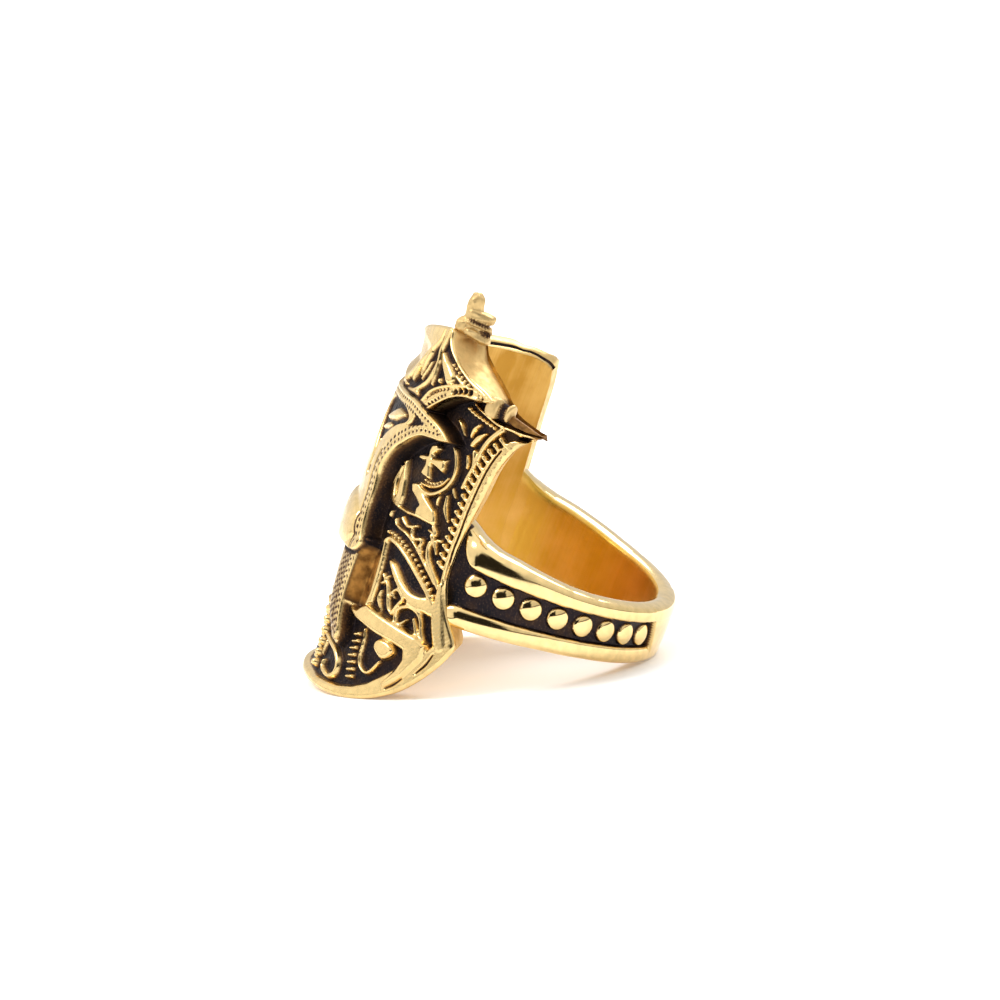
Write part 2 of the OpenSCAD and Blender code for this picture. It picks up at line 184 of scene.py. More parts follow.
# Broad flat shapes: name, height, outline (angle, z)
PLATES = [
    ("banner fold", 0.5, [(40, 4.2), (42.2, 4.45), (43.5, 4.2), (47, 4.1), (50.5, 3.8), (54, 3.5),
        (55.5, 3.1), (56.2, 2.7), (54.5, 2.5), (50.5, 2.45), (47, 2.4), (46.4, 2.9), (47.2, 3.2),
        (44.5, 3.5), (41.5, 3.7)]),
    ("cross", 0.5, [(45, 6.65), (47.9, 6.85), (51.1, 7.15), (50.8, 6.85), (51.4, 6.5), (51.2, 6.15),
        (49, 6.2), (46.7, 6.25), (45.1, 6.2), (45, 6), (46.1, 5.55), (46.8, 5.2), (43.9, 5.15), (42, 5.2),
        (42.5, 5.65), (42.8, 5.95), (42.3, 6.2), (41, 6.05), (38.4, 5.95), (38.3, 6.3), (40.2, 6.5),
        (42.7, 6.65), (42.2, 7), (42.6, 7.5), (44.9, 7.75), (46.3, 7.5), (45.4, 7.15), (44.4, 6.9)]),
    ("banner band", 0.48, [(32, 5.4), (33.2, 4.9), (35.9, 4), (37.8, 2.95), (38, 2.35), (36.9, 2.15),
        (33.1, 2.1), (30.4, 2.3), (29.5, 2.9), (29.8, 3.7), (31, 4.7)]),
    ("branch and web", 0.5, [(43.3, -1.5), (46.5, -1.4), (50, -1.8), (53, -2.2), (57, -2.5),
        (60.5, -2.45), (64, -2.2), (68, -2.5), (69.5, -3.2), (67, -3.45), (64.3, -3.45), (62, -3.6),
        (58, -3.6), (56, -3.55), (54.5, -3.2), (51.5, -2.85), (47, -2.2)]),
    ("boss", 0.6, [(51.6, -7), (53, -6.65), (56.5, -6.5), (59.3, -6.7), (60, -7.1), (58.4, -7.7),
        (56, -7.95), (53, -7.7), (51.7, -7.4)]),
    ("hull bar", BAR, [(33.8, -5.7), (36.5, -5.9), (39.5, -5.75), (41.2, -5.3), (43, -5.05),
        (50.5, -5.05), (58, -5.05), (66, -5.05), (70, -5.3), (70.5, -6.4), (67, -8.2), (61.5, -9.8),
        (60, -9.3), (63, -8), (64, -7.1), (63, -6.5), (59, -6.45), (52, -6.55), (46, -6.55),
        (40.5, -6.55), (36, -6.3)]),
    ("lower rim", RAISED, [(64, -6.6), (63.8, -7.2), (62.2, -8), (58.5, -9), (54.5, -9.95), (49, -10.8),
        (42.5, -11.4), (36, -11.75), (26.5, -12.1), (14, -12.2), (-14, -12.2), (-14, -14), (60, -14),
        (82, -11), (82, -4.4), (76, -4.3), (72.5, -4.9), (70, -5.6)]),
    ("edge strip", 0.5, [(84, 10.9), (75, 11.1), (71.5, 10.95), (70, 10.7), (68.7, 10.2), (67.3, 9.6),
        (66.2, 9), (65.3, 8.4), (64.6, 7.6), (64.1, 6.6), (63.8, 5.6), (63.9, 4.5), (64.2, 3.5),
        (64.4, 2.5), (64.6, 1.5), (65, 0.5), (65.8, -0.6), (67, -1.8), (69, -3), (71, -4.6), (84, -4.6)]),
    ("tip back", RAISED, [(63, 12.4), (66, 11.9), (70, 11.75), (74, 11.8), (78, 11.95), (84, 12.2),
        (84, 14), (63, 14)]),
]
# Plates with sharp corners, plates with soft edges, and the plates and strokes on the far flank too
CORNERED = ("lower rim", "edge strip", "tip back", "hull bar", "banner fold", "banner band", "cross")
SOFT_EDGED = ("hull bar", "lower rim", "branch and web", "boss")
FAR_PLATES = ("hull bar", "lower rim")
FAR_STROKES = ("frame", "stem", "arch", "inner border")
# Dark cuts in the raised metal: name, width, depth, points
CUTS = [
    ("crease beside the edge", 0.11, 0.25, [(68.6, 9.8), (67.6, 9.1), (66.9, 8.4), (66.4, 7.6),
        (66.1, 6.6), (65.9, 5.4), (65.9, 4.2), (66.1, 3), (66.1, 1.8), (66.5, 0.7), (67.1, -0.4)]),
    ("tip slit", (0.08, 0.3, 0.06), 0.4, [(72, 11.2), (74.5, 11.28), (77, 11.42), (79.5, 11.68)]),
    ("banner slot", (0.25, 0.48, 0.25), 0.55, [(31.8, 4.7), (31.6, 4), (32.3, 3.3), (33.6, 2.75)]),
    ("hole in the web", 0.34, 0.4, [(56.4, -3.35), (56.6, -3.4)]),
    ("rim slit", (0.06, 0.14, 0.05), 0.2, [(73, -5.7), (72, -6.6), (70, -7.5)]),
    ("rim slit lower", (0.05, 0.12, 0.05), 0.15, [(66.5, -8.3), (64.5, -9), (62, -9.6)]),
]
# Rows of dots: name, count, width, height, points
DOT_ROWS = [
    ("upper border dots", 8, 0.3, 0.4, [(50.5, 11.25), (54, 11.1), (58, 11.05), (61, 11), (64, 10.95)]),
    ("frame dots", 15, 0.26, 0.4, [(36, 0.05), (39, 0.2), (41.5, 0.25), (44.5, 0.22), (49.5, 0),
        (54.5, -0.4), (58.5, -0.9), (62.5, -1.45), (66, -2.1)]),
    ("medallion dots", 6, 0.18, 0.35, [(44, 4.95), (46.5, 4.95), (49.5, 5.15), (52, 5.6)]),
]
TEETH = 17
TEETH_TIPS = [
    (67.7, 10.8), (66.6, 10.25), (65.2, 9.65), (64.2, 9.05), (63.4, 8.4), (62.8, 7.7), (62.3, 7),
    (62, 6.2), (62, 5.4), (62, 4.5), (62.1, 3.4), (62.3, 2.3), (62.6, 1.2), (63, 0.1),
]
TEETH_ROOTS = [
    (70.6, 10.6), (69.4, 10), (68.1, 9.45), (67.1, 8.85), (66.3, 8.2), (65.6, 7.5), (65, 6.8), (64.7, 6),
    (64.6, 5.2), (64.6, 4.3), (64.7, 3.2), (64.9, 2.1), (65.2, 1), (65.8, -0.1),
]
FAR_TEETH = 22
LADDER = [(41.6, -7.2), (42.4, -7.9), (42.8, -8.6), (44, -9.3), (46.4, -10.6)]
RUNGS = 7
ROPE = [(11, -6), (15, -7.8), (18.5, -9.3), (20.5, -10.6), (21, -11.9)]
ROPE_LINKS = 8
# Rows of the rope: aside from its line, start of the first link, width, height
ROPE_ROWS = [(0.4, 0.5, 0.62, 0.6), (-0.4, 0.1, 0.45, 0.35)]

# Sails: outlines that stand high above the ground
MAIN_SAIL = [
    (-38, 8.2), (-20, 9), (6, 9.2), (22, 9.5), (31, 9.7), (40, 9.55), (46, 9.4), (50, 9.15), (54.3, 8.65),
    (51.5, 8.4), (48.5, 8.2), (45, 8), (41, 7.7), (37, 7.05), (34, 6.4), (31.3, 5.8), (29, 5),
    (27.4, 4.2), (27, 3.4), (27.7, 2.6), (28.5, 1.7), (29, 0.8), (30, -0.1), (31.5, -0.9), (33, -1.5),
    (31, -2.2), (27, -2.6), (18, -2.8), (4, -2.4), (-6, -1), (-14, 0.6), (-28, 2.4), (-36, 5),
]
# Places in the main sail's outline: its near corner, and the run of its pierced edge
MAIN_CORNER = 8
MAIN_EDGE = (2, 26)
UPPER_SAIL = [
    (-42, 9.4), (-20, 10.2), (6, 10.1), (22, 9.7), (36.5, 9.4), (39, 9.7), (42, 10.4), (45, 11),
    (48, 11.6), (51, 12), (55, 12.3), (60, 12.45), (62.5, 12.9), (62.5, 17), (-46, 17), (-48, 12),
]
PROW_RIGHT = [
    (34, -1), (32, -1.9), (32.2, -2.9), (32.6, -4), (33.4, -5.2), (34.6, -6.2), (36.2, -7.1),
    (37.8, -7.8), (38, -8.4), (36.5, -8.9),
]
PROW_LEFT = [
    (36.5, -8.9), (31, -9), (26, -8.8), (20.5, -8), (15, -7.1), (9, -5.9), (3, -4.6), (-3, -3), (0, -1),
]
# Rows of short cuts on the prow: distance from its near edge
PROW_ROWS = (0.5, 0.85, 1.2, 1.55, 1.9, 2.25)
PROW_CUTS = 15
# Gold drawing on the upper sail, over its dark pocket
SAIL_STROKES = [
    ("crest", (0.38, 0.3, 0.36), [(34.9, 16), (34.3, 15.2), (34, 14.5), (33.8, 13.8), (34.8, 13),
        (34.4, 12.2), (33.1, 11.3), (29.8, 10.5), (26.1, 9.9), (20.7, 9.5), (15.8, 9.7)]),
    ("left strand", (0.3, 0.5, 0.6), [(31.7, 15.4), (31.2, 14.7), (30.5, 14.1), (26.8, 13), (23.4, 11.9),
        (19.2, 10.8), (14.1, 9.8), (12.2, 9.2)]),
    ("left leaf", (0.55, 0.4, 0.12), [(28, 13.1), (27.1, 12.3), (27.1, 11.7), (27.5, 11.2)]),
    ("left leaf two", (0.12, 0.3, 0.12), [(24.3, 11.7), (22.7, 11.1), (22.4, 10.4)]),
    ("left thread", (0.1, 0.16, 0.1), [(31.4, 12.6), (30.5, 11.9), (29.5, 11.4), (28.8, 11)]),
    ("petal", (0.25, 0.8, 1.05), [(36.1, 13.7), (38.5, 13.2), (40.8, 12.9), (43, 12.55)]),
    ("petal two", (0.14, 0.3, 0.12), [(35.4, 12.7), (35.6, 12.1), (36.1, 11.3)]),
    ("petal three", 0.34, [(39.1, 11.95), (39.4, 11.9)]),
    ("strand right", (0.25, 0.3, 0.2), [(45.8, 13), (48.2, 12.85), (50.5, 12.75), (53.5, 12.7)]),
    ("facet line", 0.44, [(35.7, 15.7), (37.8, 14.9), (39.9, 14.4), (43, 14.05), (46.5, 13.7), (50, 13.5),
        (54, 13.3), (58, 13.1), (61.5, 12.85)]),
    ("border band", (0.5, 0.85, 0.9), [(34.5, 9.5), (37, 10), (39.5, 10.6), (43, 11.25), (46.5, 11.75),
        (50.5, 12.3), (56, 12.65)]),
]
BORDER_LINES = [
    [(34.5, 9.75), (36, 10.4), (37.6, 10.95), (40.8, 11.55), (44, 12), (47.5, 12.45), (51, 12.7)],
    [(38.2, 9.45), (40, 9.95), (42.5, 10.55), (45.5, 11.2), (48.5, 11.75), (52, 12.15), (57, 12.45)],
]
BORDER_HOLES = [
    [(36.5, 10.15), (37.9, 10.6), (40.3, 11.15), (43.1, 11.6), (46, 12)],
    [(38, 9.9), (40, 10.35), (42.5, 10.95), (45, 11.45)],
]
BORDER_OPENINGS = [(47, 11.85), (49.5, 12.2), (52, 12.5), (55, 12.65)]
GROOVE_BEADS = [(42.5, 13.5), (45.2, 13.35), (47.8, 13.15), (51.5, 12.95)]
SAIL_POCKETS = [
    ("upper pocket", [(26.5, 12.9), (30.6, 14), (31.3, 14.7), (31.7, 15.3), (32.5, 15.2), (33.6, 14.6),
        (34.5, 15.6), (35.2, 15.5), (36.6, 14.8), (39, 14.3), (42.5, 13.9), (46.5, 13.55), (52, 13.15),
        (58, 12.85), (58.5, 12.5), (52, 12.35), (47, 11.75), (42.5, 10.7), (38.5, 9.75), (34, 9.65),
        (29, 10.1), (22, 9.75), (17, 10), (19, 10.7), (22.5, 11.6)]),
]
# How far the upper sail swells or sinks towards its far edge, by z
SAIL_SWELL = [
    (9.4, 0.3), (9.9, 0.2), (10.7, -0.2), (11.4, -0.5), (12.2, -0.4), (13, -0.25), (13.6, 0), (17, 0.05),
]
# Slits down the main sail's far edge: upper and lower end of each
SAIL_DASHES = [
    (7, 8), (6.4, 7.3), (6.2, 6.9), (5.6, 6.2), (5.4, 5.8), (5, 5.1), (4.8, 4.7), (4.5, 4), (4.4, 3.6),
    (4.3, 2.9),
]
MAIN_POCKETS = [
    ("tip pocket", [(34.5, 8.75), (39.6, 8.6), (36.5, 8.1), (31.5, 7.55), (33.5, 8.1)]),
    ("eye pocket", [(7, 7), (12, 8.3), (20, 8.55), (27, 8.6), (31.5, 8.25), (30.5, 7.75), (26, 7.1),
        (22.5, 6.4), (19.5, 5.6), (18, 4.4), (18, 2.6), (15, 2.6), (14, 4.4)]),
]
MAIN_STROKES = [
    ("eye", (0.4, 0.95, 0.2), [(16, 6.95), (20, 7.4), (24, 7.8), (29, 8.15)]),
    ("eye leaf", (0.2, 0.5, 0.15), [(14.5, 6), (18, 6.4), (22, 6.7)]),
    ("strip leaf", (0.15, 0.4, 0.15), [(16.5, 5.2), (17, 4.2), (16.5, 3.2)]),
]


def to_row(points):
    """Ring millimetres to the row frame's metres."""
    return MIDDLE + (points @ np.array([FRONT, SIDE, FINGER])) * MM


def smoothstep(value, low, high):
    t = np.clip((value - low) / (high - low), 0, 1)
    return t * t * (3 - 2 * t)


def round_over(t):
    """Height share of a rounded edge at share t of its width."""
    return np.sqrt(np.clip(1 - (1 - np.clip(t, 0, 1)) ** 2, 0, 1))


def from_table(table, x):
    """A table's second column where its first is x."""
    return np.interp(x, *np.array(table).T)


def drawn(points):
    """Angle and z to millimetres along the plate and z."""
    return np.array([(angle * ARC, z) for angle, z in points], float)


def smooth_line(points, closed=False, parts=6):
    """A smooth curve through points."""
    p = np.asarray(points, float)
    if len(p) < 3:
        return p
    ends = (p[-1:], p[:2]) if closed else (2 * p[:1] - p[1:2], 2 * p[-1:] - p[-2:-1])
    q = np.vstack([ends[0], p, ends[1]])
    line = []
    for i in range(1, len(q) - 2):
        for t in np.arange(parts) / parts:
            a, b, c, d = q[i - 1], q[i], q[i + 1], q[i + 2]
            line.append(0.5 * (2 * b + (c - a) * t + (2 * a - 5 * b + 4 * c - d) * t ** 2
                               + (3 * b - a - 3 * c + d) * t ** 3))
    if not closed:
        line.append(p[-1])
    return np.array(line)


def curve(points, closed=False):
    """A smooth curve through points given by angle and z."""
    return smooth_line(drawn(points), closed)


def lengths(line):
    """Distance along a line at each of its points."""
    return np.concatenate([[0], np.cumsum(np.linalg.norm(np.diff(line, axis=0), axis=1))])


def resample(line, shares):
    """Points at shares of a line's length."""
    run = lengths(line)
    places = np.asarray(shares) * run[-1]
    return np.column_stack([np.interp(places, run, line[:, k]) for k in range(line.shape[1])])


def spaced(points, count, start=0.5):
    """Evenly spaced places along a smooth curve."""
    return resample(curve(points), (np.arange(count) + start) / count)


def near(points, line, reach):
    """Indices of the points within reach of a line's box."""
    low, high = line.min(0) - reach, line.max(0) + reach
    return np.nonzero(((points > low) & (points < high)).all(1))[0]


def soften(values, passes):
    """A light blur over a grid, as casting and wear leave it."""
    for _ in range(passes):
        for axis in (0, 1):
            padded = np.concatenate([values.take([0], axis), values, values.take([-1], axis)], axis)
            count = values.shape[axis]
            before, middle, after = (padded.take(range(k, k + count), axis) for k in range(3))
            values = 0.25 * before + 0.5 * middle + 0.25 * after
    return values


def distance_to(points, line):
    """Distance from a line and the place along it, for each point."""
    best = np.full(len(points), 1e9)
    place = np.zeros(len(points))
    run = 0.0
    for a, b in zip(line[:-1], line[1:]):
        step = b - a
        length = max(np.linalg.norm(step), 1e-9)
        t = np.clip(((points - a) @ step) / length ** 2, 0, 1)
        d = np.linalg.norm(points - a - t[:, None] * step, axis=1)
        closer = d < best
        best[closer] = d[closer]
        place[closer] = run + t[closer] * length
        run += length
    return best, place


def inside(points, outline):
    """True where a point is inside a closed outline."""
    found = np.zeros(len(points), bool)
    x, y = points[:, 0], points[:, 1]
    for (ax, ay), (bx, by) in zip(outline, np.roll(outline, -1, axis=0)):
        if ay == by:
            continue
        spans = (ay > y) != (by > y)
        found ^= spans & (x < (bx - ax) * (y - ay) / (by - ay) + ax)
    return found


def half_width(width, place, line):
    """Half a stroke's width at places along it. width is one number, or start, middle and end."""
    widths = (width,) * 3 if np.isscalar(width) else width
    return np.interp(place / lengths(line)[-1], (0, 0.5, 1), widths) / 2


def put(name, data):
    """A new object in the scene."""
    thing = bpy.data.objects.new(name, data)
    bpy.context.scene.collection.objects.link(thing)
    return thing


def set_inputs(node, **numbers):
    """Values of a node's sockets, named with _ for each space."""
    for name, number in numbers.items():
        node.inputs[name.replace("_", " ")].default_value = number


def pits(place, off, spacing, radius, outer=1.35, inner=0.8):
    """Share of a row of round pits, from the place along its line and the distance from it."""
    along = np.abs((place / spacing) % 1 - 0.5) * spacing
    return smoothstep(np.hypot(along, off), radius * outer, radius * inner)


class Relief:
    """Height and finish of the metal over a drawn surface."""

    def __init__(self, points):
        self.points = points
        self.height = np.zeros(len(points))
        self.gold = np.zeros(len(points))
        self.brown = np.zeros(len(points))

    def stroke(self, line, width, height, base=0.0):
        """A rounded bar along a line."""
        at = near(self.points, line, 1.1)
        d, place = distance_to(self.points[at], line)
        half = half_width(width, place, line) * WIDEN
        self.rise(at, half - d, np.maximum(0.8 * half, 0.06), height, base)

    def dot(self, centre, width, height):
        self.stroke(np.array([centre - (0.02, 0), centre + (0.02, 0)]), width, height)

    def rise(self, at, inner, bevel, height, base=0.0):
        """Metal raised over a shape, from how deep each place is inside it."""
        on = inner > -0.2
        up = base + (height - base) * round_over((inner + 0.03) / bevel)
        up = np.where(inner > -0.03, up, -9)
        at, up, gold = at[on], up[on], smoothstep(inner[on], -0.12, 0.07)
        self.height[at] = np.maximum(self.height[at], up)
        self.gold[at] = np.maximum(self.gold[at], gold)

    def plate(self, outline, height, bevel=0.14):
        """A flat raised shape with a bevelled edge."""
        at, inner = self.depth(outline, 0.25)
        self.rise(at, inner, bevel, height)

    def depth(self, outline, reach):
        """Indices near an outline and how deep each is inside it."""
        at = near(self.points, outline, reach)
        d, _ = distance_to(self.points[at], np.vstack([outline, outline[:1]]))
        return at, np.where(inside(self.points[at], outline), d, -d)

    def sink(self, at, share, deep):
        """Lower metal that is dark in its depth."""
        self.height[at] -= deep * share
        self.gold[at] *= 1 - share

    def pocket(self, outline, deep):
        """A dark pocket in raised metal."""
        at, inner = self.depth(outline, 0.1)
        self.sink(at, smoothstep(inner, 0, 0.1), deep)

    def cut(self, line, width, deep):
        """A dark groove along a line."""
        at = near(self.points, line, 0.5)
        d, place = distance_to(self.points[at], line)
        half = half_width(width, place, line)
        self.sink(at, smoothstep(d, half * 1.15 + 0.04, half * 0.35), deep)

    def hole_row(self, line, spacing, radius, deep):
        """A row of small dark pits along a line."""
        at = near(self.points, line, 0.3)
        d, place = distance_to(self.points[at], line)
        on_line = (place > 0.02) & (place < lengths(line)[-1] - 0.02)
        self.sink(at, pits(place, d, spacing, radius) * on_line, deep)


def flank(relief, side):
    """Low relief of one flank. The far flank keeps only its frame and rims."""
    flip = np.array([side, 1.0])
    relief.points = relief.points * flip
    for name, height, outline in PLATES:
        if side > 0 or name in FAR_PLATES:
            shape = drawn(outline) if name in CORNERED else curve(outline, True)
            relief.plate(shape, height, 0.34 if name in SOFT_EDGED else 0.16)
    for name, width, height, points in STROKES:
        if side > 0 or name.startswith(FAR_STROKES):
            relief.stroke(curve(points), width, height)
    if side > 0:
        near_details(relief)
    else:
        edge = curve(FAR_EDGE) * flip
        relief.stroke(edge - (0.3, 0), 1.2, 0.5)
        for root in resample(edge, np.linspace(0.22, 0.93, FAR_TEETH)):
            relief.stroke(np.array([root - (1.15, 0), root - (0.5, 0)]), (0.3, 0.4, 0.5), 0.48)
    relief.points = relief.points * flip


def near_details(relief):
    """Teeth, dots, ladder, rope and dark cuts of the near flank."""
    for tip, root in zip(spaced(TEETH_TIPS, TEETH), spaced(TEETH_ROOTS, TEETH)):
        bend = tip + 0.5 * (root - tip) - (0, 0.08)
        relief.stroke(np.array([tip, bend, root, 2 * root - tip]), (0.3, 0.4, 0.6), 0.52)
        relief.dot(tip, 0.4, 0.54)
    for _, count, width, height, points in DOT_ROWS:
        for centre in spaced(points, count):
            relief.dot(centre, width, height)
    for centre in spaced(LADDER, RUNGS):
        lean = np.array([0.3, 0.13])
        relief.stroke(np.array([centre - lean, centre + lean]), 0.24, 0.4)
    for aside, start, width, height in ROPE_ROWS:
        for centre in spaced(ROPE, ROPE_LINKS, start) + (aside, 0):
            relief.stroke(np.array([centre, centre + (0.12, 0.04)]), width, height)
    for _, width, deep, points in CUTS:
        relief.cut(curve(points), width, deep)


def edge_at(table, z):
    """Angle of an edge at each height z."""
    rows = np.array(sorted((z, angle) for angle, z in table))
    return np.interp(z, rows[:, 0], rows[:, 1])


def prow(relief):
    """The long blade below the main sail, highest along its near edge, and painted brown shade on the
    wall beside it.
    """
    at, inner = relief.depth(np.vstack([curve(PROW_RIGHT), curve(PROW_LEFT)]), 1.6)
    z = relief.points[at, 1]
    angle = relief.points[at, 0] / ARC
    right, left = edge_at(PROW_RIGHT, z), edge_at(PROW_LEFT, z)
    across = np.clip((angle - left) / np.maximum(right - left, 1), 0, 1)
    low = smoothstep(z, -7.2, -8.9)
    level = (0.45 + 0.8 * smoothstep(across, 0, 0.75)) * (1 - 0.35 * low)
    beside = (angle > right - 1) & (z < -1.5) & (z > -5.9)
    wall = smoothstep(inner, -0.4, 0.02) ** 1.2
    rise = np.where(inner > 0, 1, np.where(beside, wall, smoothstep(inner, -0.12, 0)))
    relief.height[at] = np.maximum(relief.height[at], level * rise)
    inside_frame = relief.gold[at] < 0.3
    # Painted shade: brown on the wall beside the blade's near edge, faded out towards its ends
    shade = smoothstep(inner, -1.75, -1.3) * smoothstep(z, -5.9, -5.2) * smoothstep(z, -1.2, -2.2)
    painted_shade = (inner < 0.02) * beside * inside_frame * shade
    relief.brown[at] = np.maximum(relief.brown[at], painted_shade)
    on = inner > 0
    worn = 0.62 + 0.38 * smoothstep(across[on], 0.84, 0.93)
    relief.gold[at[on]] = smoothstep(inner[on], 0, 0.06) * worn
    edge = curve(PROW_RIGHT[1:9])
    relief.stroke(edge - (0.14, 0), 0.2, 1.34, 1.0)
    for k, inward in enumerate(PROW_ROWS):
        odd = k % 2
        lean = np.array([0.12, 0.07 if odd else -0.09])
        for centre in resample(edge - (inward, 0), (np.arange(PROW_CUTS) + 0.3 + 0.4 * odd) / PROW_CUTS):
            relief.cut(np.array([centre - lean, centre, centre + lean]), (0.06, 0.15, 0.06), 0.09)
    relief.cut(edge - (0.31, 0), 0.06, 0.06)


def decorate(relief, pockets, deep, strokes, top, foot):
    """Dark pockets in a sail, and gold strokes that stand in them from foot to top."""
    for _, outline in pockets:
        relief.pocket(curve(outline, True), deep)
    for _, width, points in strokes:
        relief.stroke(curve(points), width, top, foot)


def upper_sail(relief):
    """The high sail with its gold drawing over a dark pocket, and its pierced border."""
    at, inner = relief.depth(drawn(UPPER_SAIL), 0.4)
    angle, z = relief.points[at, 0] / ARC, relief.points[at, 1]
    lay_over(relief, at, inner, SAIL + from_table(SAIL_SWELL, z) * smoothstep(angle, 30, 22))
    # Painted shade: less gold, so darker metal, on the sail's far lower part
    relief.gold[at] *= 1 - 0.32 * smoothstep(angle, 27, 21) * smoothstep(z, 14.6, 13.2)
    foot = SAIL - 0.35
    decorate(relief, SAIL_POCKETS, 0.35, SAIL_STROKES, SAIL + 0.03, foot)
    for points in BORDER_LINES:
        relief.stroke(curve(points), 0.24, SAIL + 0.12, foot)
    for centre in resample(curve(GROOVE_BEADS), np.linspace(0, 1, 6)):
        relief.stroke(np.array([centre, centre + 0.01]), 0.22, SAIL, foot)
    for points in BORDER_HOLES:
        relief.hole_row(curve(points), 0.4, 0.11, 0.08)
    relief.hole_row(curve(BORDER_OPENINGS), 0.5, 0.19, 0.35)


def main_sail_line(start=None, end=None):
    """The main sail's outline, or a run of it, with its near corner sharp."""
    return np.vstack([curve(MAIN_SAIL[start:MAIN_CORNER + 1]), curve(MAIN_SAIL[MAIN_CORNER:end])[1:]])


def main_sail(relief):
    """The bellied sail, with an eye in its upper part and a pierced edge."""
    at, inner = relief.depth(main_sail_line(), 0.4)
    angle, z = relief.points[at, 0] / ARC, relief.points[at, 1]
    belly_half = np.where(z > -0.8, 1.5, 2.3)
    belly = np.clip(1 - ((angle - 8) / 19) ** 2 - ((z + 0.8) / belly_half) ** 2, 0, 1) ** 0.5
    billow = 0.2 * np.clip(1 - ((angle - 4) / 34) ** 2 - ((z - 5.5) / 4.5) ** 2, 0, 1)
    lay_over(relief, at, inner, SAIL + 0.05 + 0.42 * belly + billow)
    # Painted shade: less gold, so darker metal, on the sail's far part round its belly
    relief.gold[at] *= 1 - 0.28 * smoothstep(angle, 15, 6)
    decorate(relief, MAIN_POCKETS, 0.3, MAIN_STROKES, SAIL + 0.2, SAIL - 0.25)
    d, place = distance_to(relief.points[at], main_sail_line(*MAIN_EDGE))
    sailcloth = inner > 0.1
    relief.height[at] += 0.07 * np.exp(-((d - 0.2) / 0.13) ** 2) * (inner > 0)
    relief.height[at] += 0.04 * np.exp(-((d - 0.68) / 0.1) ** 2) * sailcloth
    for off, spacing, radius in ((0.47, 0.44, 0.11), (0.9, 0.44, 0.13)):
        relief.sink(at, pits(place, d - off, spacing, radius, 1.3, 0.7) * sailcloth, 0.05)
    for high, low in zip(SAIL_DASHES[:-1:2], SAIL_DASHES[1::2]):
        middle = ((high[0] + low[0]) / 2, (high[1] + low[1]) / 2)
        relief.cut(drawn([high, middle, low]), (0.1, 0.24, 0.1), 0.16)
    groove = smoothstep(np.abs(d - 1.25), 0.14, 0.04) * sailcloth * (angle < 30) * (z < 5)
    relief.height[at] -= 0.12 * groove
    relief.gold[at] *= 1 - 0.9 * groove


def lay_over(relief, at, inner, level):
    """A sheet of sail that hides what lies under it."""
    spread = 0.07 + 0.12 * smoothstep(relief.points[at, 0], 0, -3)
    rise = smoothstep(inner, -spread, spread)
    over = np.maximum(relief.height[at] * (1 - rise), level * rise)
    relief.height[at] = np.where(rise > 0, over, relief.height[at])
    relief.gold[at] *= smoothstep(inner, -0.14, -0.32)
    relief.gold[at] = np.maximum(relief.gold[at], smoothstep(inner, 0.02, 0.09))
    relief.brown[at] *= 1 - rise


def relief_of(angle, z):
    """The relief of the whole plate, with a soft swelling below the prow."""
    relief = Relief(np.column_stack([angle * ARC, z]))
    flank(relief, 1)
    flank(relief, -1)
    prow(relief)
    swelling = np.exp(-((angle - 4) / 12) ** 2 - ((z + 7.6) / 1.7) ** 2)
    relief.height += 0.4 * swelling
    upper_sail(relief)
    main_sail(relief)
    return relief


def mesh_object(name, points, faces, materials, kinds=None, gold=None, brown=None, around=None):
    """A closed mesh from ring millimetres, with the finish of each vertex."""
    mesh = bpy.data.meshes.new(name)
    mesh.from_pydata(to_row(points).tolist(), [], faces)
    for material in materials:
        mesh.materials.append(material)
    if kinds is not None:
        mesh.polygons.foreach_set("material_index", np.asarray(kinds, np.int32))
    for key, value in (("gold", gold), ("brown", brown), ("around", around)):
        layer = mesh.attributes.new(key, "FLOAT", "POINT")
        if value is not None:
            layer.data.foreach_set("value", np.asarray(value, np.float32))
    work = bmesh.new()
    work.from_mesh(mesh)
    bmesh.ops.recalc_face_normals(work, faces=work.faces)
    work.to_mesh(mesh)
    work.free()
    mesh.shade_smooth()
    mesh.set_sharp_from_angle(angle=math.radians(60))
    piece = put(name, mesh)
    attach(piece, "root")
    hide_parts("ring")


def grid_faces(rows, cols, start=0, flip=False):
    faces = []
    for r in range(rows - 1):
        for c in range(cols - 1):
            a = start + r * cols + c
            quad = (a, a + 1, a + cols + 1, a + cols)
            faces.append(quad[::-1] if flip else quad)
    return faces


def tube_faces(steps, count):
    """Faces of a tube through closed sections, then its two ends."""
    faces = []
    for i in range(steps - 1):
        for j in range(count):
            k = (j + 1) % count
            faces.append((i * count + j, i * count + k, (i + 1) * count + k, (i + 1) * count + j))
    return faces + [tuple(range(count)), tuple((steps - 1) * count + j for j in range(count))]


def border(rows, cols, start=0):
    """Indices round a grid's border, each once."""
    bottom = [start + c for c in range(cols)]
    right = [start + r * cols + cols - 1 for r in range(1, rows)]
    top = [start + (rows - 1) * cols + c for c in range(cols - 2, -1, -1)]
    left = [start + r * cols for r in range(rows - 2, 0, -1)]
    return bottom + right + top + left


def stitch(fine, coarse, ratio):
    """Faces between two closed loops, the fine one with ratio times as many points."""
    faces = []
    half = ratio // 2
    for j, c in enumerate(coarse):
        after = coarse[(j + 1) % len(coarse)]
        run = [fine[(j * ratio + k) % len(fine)] for k in range(ratio + 1)]
        for k in range(ratio):
            faces.append((c if k < half else after, run[k], run[k + 1]))
        faces.append((c, run[half], after))
    return faces


def patch(bottom, top, left, right, u, v):
    """A grid of points stretched between four edges, at shares u across and v up."""
    u, v = u[None, :, None], v[:, None, None]
    corners = ((1 - u) * (1 - v) * bottom[0] + u * (1 - v) * bottom[-1]
               + (1 - u) * v * top[0] + u * v * top[-1])
    between = (1 - v) * bottom[None] + v * top[None] + (1 - u) * left[:, None] + u * right[:, None]
    return between - corners


